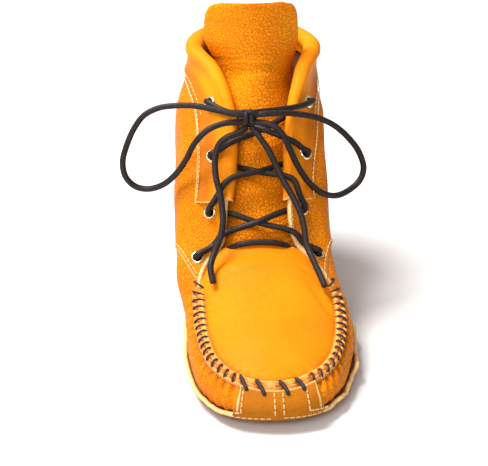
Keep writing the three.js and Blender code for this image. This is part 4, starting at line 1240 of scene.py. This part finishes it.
def tongue_surface(t, w):
    row = tongue_row(t)
    middle = point(row[..., 1] * BALL_HALF, depth_of(row[..., 0]), tongue_height(row[..., 4]))
    ahead = tongue_row(np.minimum(t + 0.3, len(TONGUE_ROWS) - 1))
    behind = tongue_row(np.maximum(t - 0.3, 0))
    climb_d = (ahead[..., 0] - behind[..., 0]) * UPPER_LENGTH
    climb_z = tongue_height(ahead[..., 4]) - tongue_height(behind[..., 4])
    size = np.hypot(climb_d, climb_z)
    back = np.stack([np.zeros_like(size), climb_z / size, -climb_d / size], -1)
    sewn = smooth((3.2 - t) / 2)
    half = row[..., 2] + sewn * (0.64 - row[..., 2])
    sag = row[..., 3] + sewn * 0.14
    across = (w * half * BALL_HALF)[..., None] * np.array([1, 0, 0])
    return middle + across + back * (sag * BALL_HALF * w * w)[..., None]


def make_tongue():
    t = np.linspace(0, len(TONGUE_ROWS) - 1, 270)
    w = np.sin(np.linspace(-1, 1, 80) * math.pi / 2) * 0.35 + np.linspace(-1, 1, 80) * 0.65
    t, w = np.meshgrid(t, w, indexing="ij")
    points = tongue_surface(t, w)
    normal = unit(np.cross(np.gradient(points, axis=1), np.gradient(points, axis=0)))
    height = points[..., 2]
    puffs = np.sin((height - 62) / 21 * 2 * math.pi)
    puffs *= smooth((128 - height) / 20) * smooth((height - 60) / 8)
    lines = np.sin(height * 1.9 + 1.3 * np.sin(points[..., 0] * 0.16) + 2.6 * ripple(points, 26, 1))
    low = np.maximum(smooth((150 - height) / 40), 0.35 * smooth((176 - height) / 20))
    lift = 0.9 * puffs * (1 - w * w) + 0.3 * lines * low * (0.6 + 0.5 * ripple(points, 18, 2))
    lift += 0.5 * ripple(points, 34, 3) * smooth((height - 60) / 10)
    lift -= 0.5 * smooth((np.abs(w) - 0.93) / 0.07)
    hide = Hide()
    rows_top = hide.grid(points + normal * lift[..., None])
    under = points - normal * (TONGUE_WALL - 0.1 * ripple(points, 8, 4))[..., None]
    rows_under = hide.grid(under)
    hide.quads(rows_top)
    hide.quads(rows_under, slot=1, flip=True)
    ring_top, ring_under = border(rows_top), border(rows_under)
    all_points = np.concatenate(hide.points)
    middle = (all_points[ring_top] + all_points[ring_under]) / 2
    rim = hide.grid(middle[None], raw_edge_and_highlight=0.75)
    hide.quads(np.stack([ring_under, rim[0], ring_top]), ring=True)
    dress(hide.build("tongue_hide", [TONGUE, TONGUE_SUEDE]), "upper_leather", "tongue")


# Cuff

CUFF_SLANT = 0.66
CUFF_SLANT_TO = 12.2


def cuff_station(near, past):
    """Station of a point of the cuff: its lower ends slant down toward the heel."""
    fade = smooth((CUFF_SLANT_TO - near) / (CUFF_SLANT_TO - CUFF_END))
    return near - CUFF_SLANT * np.clip(-past / CUFF_FACE, 0, 1) * fade


def cuff_radius(u):
    share = smooth((from_toe(u) - 11.5) / 2.5)
    return CUFF_THROAT_RADIUS + (CUFF_COLLAR_RADIUS - CUFF_THROAT_RADIUS) * share


def make_cuff():
    near = np.concatenate([np.arange(CUFF_END, 13, 1 / 26), np.arange(13, HEEL_RIB, 1 / 16)])
    u = np.concatenate([near, [HEEL_RIB], LOOP_COUNT - near[::-1]])
    radius = cuff_radius(u)
    inside = -UPPER_WALL - GAP
    profile = []
    for past in np.linspace(-CUFF_FACE, -radius.max() * 0.9, 16):
        puff = 0.8 * smooth((past + CUFF_FACE) / 4) + 0.2
        profile.append((np.full_like(u, past), np.full_like(u, CUFF_GAP + CUFF_WALL * puff)))
    for degrees in np.linspace(98, -100, 20):
        angle = math.radians(degrees)
        profile.append((radius * math.cos(angle), radius * math.sin(angle) - UPPER_WALL / 2))
    for past in np.linspace(-CUFF_LEG * 0.62, -CUFF_LEG, 4):
        profile.append((np.full_like(u, past), np.full_like(u, inside - CUFF_WALL)))
    outer_rows = len(profile)
    for past in np.linspace(-CUFF_LEG, GAP, 5):
        profile.append((np.full_like(u, past), np.full_like(u, inside)))
    for past in np.linspace(GAP, -CUFF_FACE, 12):
        profile.append((np.full_like(u, past), np.full_like(u, CUFF_GAP)))
    past = np.array([row[0] for row in profile])
    lift = np.array([row[1] for row in profile])
    station = cuff_station(from_toe(u), past)
    columns = np.where(side_of(u) > 0, station, LOOP_COUNT - station)
    points = across_rim(columns, past, lift)
    soft = 0.35 * ripple(points, 26, 0) + 0.12 * ripple(points, 9, 5)
    normal = unit(np.cross(np.gradient(points, axis=1), np.gradient(points, axis=0)))
    shown = np.zeros(past.shape)
    shown[:outer_rows] = 1
    on_face = smooth((past + CUFF_FACE) / 3) * shown
    points = points + normal * (np.maximum(soft, -0.3) * on_face)[..., None]
    gone = np.zeros(past.shape)
    gone[0] = 0.9
    gone[:, 0] = gone[:, -1] = 0.8
    hide = Hide()
    # Painted shade: the cuff's face darkens towards its lower edge.
    deep = smooth((-past - 7) / 9) * shown * 0.55
    rows = hide.grid(points, raw_edge_and_highlight=gone, painted_shade=deep)
    hide.quads(np.concatenate([rows, rows[:1]]))
    for column, flip in ((0, True), (-1, False)):
        ring, half = rows[:, column], len(rows) // 2 + 1
        hide.quads(np.stack([ring[:half], ring[::-1][:half]]), flip=flip)
    return dress(hide.build("cuff_hide", [CUFF], sharp=70), "cuff_leather", "collar_cuff")


# Insole

def make_insole():
    u = around(8, 8, 7)
    under = UPPER_WALL + GAP
    rings, tops = [], []
    for v in (-1, 0, 0.33):
        ring = skin(u, np.full_like(u, v), np.full_like(u, -under - 0.1))
        top = ring.copy()
        floor = bottom_height(ring[:, 1] + BOOT_LENGTH / 2) + under
        ring[:, 2] = np.maximum(ring[:, 2], floor) if v > 0 else floor
        top[:, 2] = floor + INSOLE_WALL
        rings.append(ring)
        tops.append(top)
    hide = Hide()
    rows = hide.grid(np.array([*rings, *tops[::-1]]))
    hide.quads(rows, ring=True)
    hide.quads(ladder(rows[0])[::-1])
    hide.quads(ladder(rows[-1]))
    dress(hide.build("insole_suede", [SUEDE], sharp=50), "suede", "insole")


# Eyelets

RING_SIDES = 40
RING_SEAT = 0.25
DRILL_SIDES = 20
DRILL_RADIUS = EYELET_HOLE_RADIUS + 0.6
DRILL_REACH = (-9, 5)


def stand_at(points, place):
    axis = Vector(place["axis"])
    turn = np.array(Vector((0, 0, 1)).rotation_difference(axis).to_matrix())
    return points @ turn.T + place["centre"]


def make_eyelets():
    hole, flange, seat = EYELET_HOLE_RADIUS, EYELET_RADIUS, RING_SEAT
    for (index, side), place in PLACES.items():
        depth = UPPER_WALL + place["lift"]
        bend = [
            # radius, height
            (hole, -depth), (hole, seat), (hole + 0.12, seat + 0.5), (hole + 0.5, seat + 0.85),
            (hole + 1.0, seat + 0.95), (flange - 0.5, seat + 0.6), (flange - 0.1, seat + 0.25),
            (flange, seat), (hole + 0.45, seat - 0.1), (hole + 0.4, -depth),
        ]
        hide = Hide()
        rings = np.array([circle(radius, height, RING_SIDES) for radius, height in bend])
        rows = hide.grid(stand_at(rings, place))
        hide.quads(np.concatenate([rows, rows[:1]]), ring=True, flip=True)
        name = "inner" if side < 0 else "outer"
        ring = hide.build(f"ring_{name}_{index + 1}", [NICKEL])
        dress(ring, "eyelet_metal", f"eyelet_{name}_{index + 1}")


def drill(piece, places):
    """Cuts the eyelets' holes through a hide."""
    hide = Hide()
    half = DRILL_SIDES // 2
    for place in places:
        rings = np.array([circle(DRILL_RADIUS, height, DRILL_SIDES) for height in DRILL_REACH])
        rows = hide.grid(stand_at(rings, place))
        hide.quads(rows, ring=True)
        for order in (rows[0][::-1], rows[1]):
            hide.quads(np.stack([order[:half], order[:half - 1:-1]]), flip=True)
    cutter = hide.build("cutter", [])
    cut = piece.modifiers.new("holes", "BOOLEAN")
    cut.object = cutter
    cut.operation = "DIFFERENCE"
    cut.solver = "EXACT"
    bpy.context.view_layer.objects.active = piece
    with bpy.context.temp_override(object=piece, active_object=piece, selected_objects=[piece]):
        bpy.ops.object.modifier_apply(modifier=cut.name)
    bpy.data.objects.remove(cutter)


# Thread

TOE_STITCHES_TO = 27
TOE_STITCHES_FADE = 9
THREAD_LIFT = 0.25
# Length, gap and radius of the sole's stitches.
SOLE_DASH = (2.4, 1.3, 0.42)


def make_whip_stitches():
    """Dark stitches over the toe seam, long and slanting at the toe, short along the sides."""
    hide = Hide()
    for side, runs in STITCHES.items():
        for i, run in enumerate(runs):
            near = float(np.interp(run, SEAM_RUN[side], SEAM_NEAR))
            at_toe = float(smooth((TOE_STITCHES_TO - run) / TOE_STITCHES_FADE))
            step = 0.25
            low, high = max(near - step, 0), near + step
            per_rib = float(np.diff(np.interp([low, high], SEAM_NEAR, SEAM_RUN[side]))[0]) / (high - low)
            lean = (1.0 + 1.1 * at_toe) * (1 + 0.25 * math.sin(i * 2.4))
            turn = -1 if side > 0 or at_toe > 0.5 else 1
            reach = 3.3 + 3.9 * at_toe
            tab_lift = (SKIN + 0.2) * at_toe
            radius = 0.62 + 0.62 * at_toe
            route = [
                # distance past the rim, lift, share of the lean
                (-reach - 0.3, -0.6 + tab_lift, -1.1),
                (-reach, 0.6 + tab_lift, -1.0),
                (-0.5 * reach - 1.2, 2.3 + 0.55 * tab_lift, -0.6),
                (-1.4, 3.0 + 0.2 * tab_lift, -0.1),
                (0.7, 3.0, 0.3),
                (2.3, 2.4, 0.65),
                (3.5, 1.1, 0.95),
                (4.0, -0.5, 1.05),
            ]
            path = []
            for past, lift, share in route:
                u = (float(on_side(near, side)) + lean * share * turn / per_rib) % LOOP_COUNT
                path.append(across_rim(u, past, lift))
            add_tube(hide, spline(path, 0.5), radius, 9)
    dress(hide.build("whip_stitches", [DARK_THREAD]), "lace_leather")


def dashes(hide, path, length=2.2, gap=1.1, radius=0.36):
    """Stitches along a path that lies on the hide: short thread lengths that dip in at both ends."""
    run = np.concatenate([[0], np.cumsum(np.linalg.norm(np.diff(path, axis=0), axis=1))])
    start = 0.0
    while start + length < run[-1]:
        at = np.linspace(start, start + length, 6)
        stitch = np.stack([np.interp(at, run, path[:, i]) for i in range(3)], -1)
        add_tube(hide, stitch, radius, 6)
        start += length + gap


def on_cuff(near, side, distance, lift):
    u = on_side(cuff_station(near, -distance), side)
    return across_rim(u, np.full(np.shape(u), -distance), np.full(np.shape(u), lift))


def make_thread():
    hide = Hide()
    face = CUFF_GAP + CUFF_WALL + THREAD_LIFT
    for side in (-1, 1):
        near = np.linspace(CUFF_END + 0.12, HEEL_RIB, 260)
        dashes(hide, on_cuff(near, side, CUFF_FACE - 2.2, face))
        near = np.linspace(12.0, 14.2, 80)
        dashes(hide, on_cuff(near, side, CUFF_FACE - 5.4, face), gap=1.6)
        v = np.linspace(2.86, 1.2, 120)
        u = on_side(quarter_edge(v) + 0.17, side)
        dashes(hide, skin(u, v, np.full_like(v, QUARTER_STEP + THREAD_LIFT)))
        v = np.linspace(0.95, 2.72, 140)
        u = HEEL_RIB + side * 0.17
        dashes(hide, skin(np.full_like(v, u), v, np.full_like(v, THREAD_LIFT)))
    make_sole_thread(hide)
    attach(hide.build("seam_thread", [CREAM_THREAD]), "root")


SOLE_LINES_UP = [
    # station, v at the foot and at the top
    (LOOP_COUNT - 1.6, 1.0, 2.3),
    (LOOP_COUNT - 0.13, 1.0, 2.4),
    (0.25, 1.0, 2.4),
    (1.43, 1.05, 2.4),
]
SOLE_LINES_ALONG = [
    # from station to station, v at both
    (LOOP_COUNT - 3.0, LOOP_COUNT - 1.65, 0.8, 0.98),
    (LOOP_COUNT - 2.6, LOOP_COUNT - 0.15, 0.72, 0.84),
    (0.27, 3.2, 0.86, 0.7),
    (1.45, 2.5, 1.04, 0.9),
]


def make_sole_thread(hide):
    lift = SKIN + 0.22
    for station, v_low, v_high in SOLE_LINES_UP:
        v = np.linspace(v_low, v_high, 50)
        dashes(hide, skin(np.full_like(v, station), v, np.full_like(v, lift)), *SOLE_DASH)
    for start, end, v_start, v_end in SOLE_LINES_ALONG:
        u, v = np.linspace(start, end, 160), np.linspace(v_start, v_end, 160)
        dashes(hide, skin(u, v, np.full_like(u, lift)), *SOLE_DASH)


UPPER = make_upper()
drill(UPPER, list(PLACES.values()))
make_sole()
make_plug()
make_tongue()
CUFF_PIECE = make_cuff()
drill(CUFF_PIECE, [place for place in PLACES.values() if place["near"] > CUFF_END])
make_insole()
make_eyelets()
make_whip_stitches()
make_thread()


# Floor and light

def make_floor():
    mesh = bpy.data.meshes.new("floor")
    size = 4
    corners = [(-size, -size, 0), (size, -size, 0), (size, size, 0), (-size, size, 0)]
    mesh.from_pydata(corners, [], [(0, 1, 2, 3)])
    material, nodes, links, shader = new_material("floor")
    place = nodes.new("ShaderNodeTexCoord").outputs["Object"]
    tone = ramp(nodes, links, value_noise(nodes, links, place, 3), [(0.3, 0.76), (0.7, 0.8)])
    links.new(tone, shader.inputs["Base Color"])
    shader.inputs["Roughness"].default_value = 0.5
    mesh.materials.append(material)
    floor = bpy.data.objects.new("floor", mesh)
    bpy.context.scene.collection.objects.link(floor)


def add_light(name, place, target, size, power, colour=(1, 1, 1)):
    data = bpy.data.lights.new(name, "AREA")
    data.shape = "DISK"
    data.size = size
    data.energy = power
    data.color = colour
    light = bpy.data.objects.new(name, data)
    light.location = place
    light.rotation_mode = "QUATERNION"
    light.rotation_quaternion = (Vector(target) - Vector(place)).to_track_quat("-Z", "Y")
    bpy.context.scene.collection.objects.link(light)


def make_light():
    world = bpy.data.worlds.new("studio")
    bpy.context.scene.world = world
    world.use_nodes = True
    world.node_tree.nodes["Background"].inputs["Color"].default_value = (1, 1, 1, 1)
    world.node_tree.nodes["Background"].inputs["Strength"].default_value = 0.42
    middle = (0, 0, 0.08)
    add_light("key", (-0.55, 0.15, 1.3), middle, 0.7, 36, (1, 0.98, 0.95))
    add_light("front", (-0.45, -1.3, 0.9), middle, 0.8, 12)


make_floor()
make_light()
bpy.context.scene.view_settings.view_transform = "Standard"
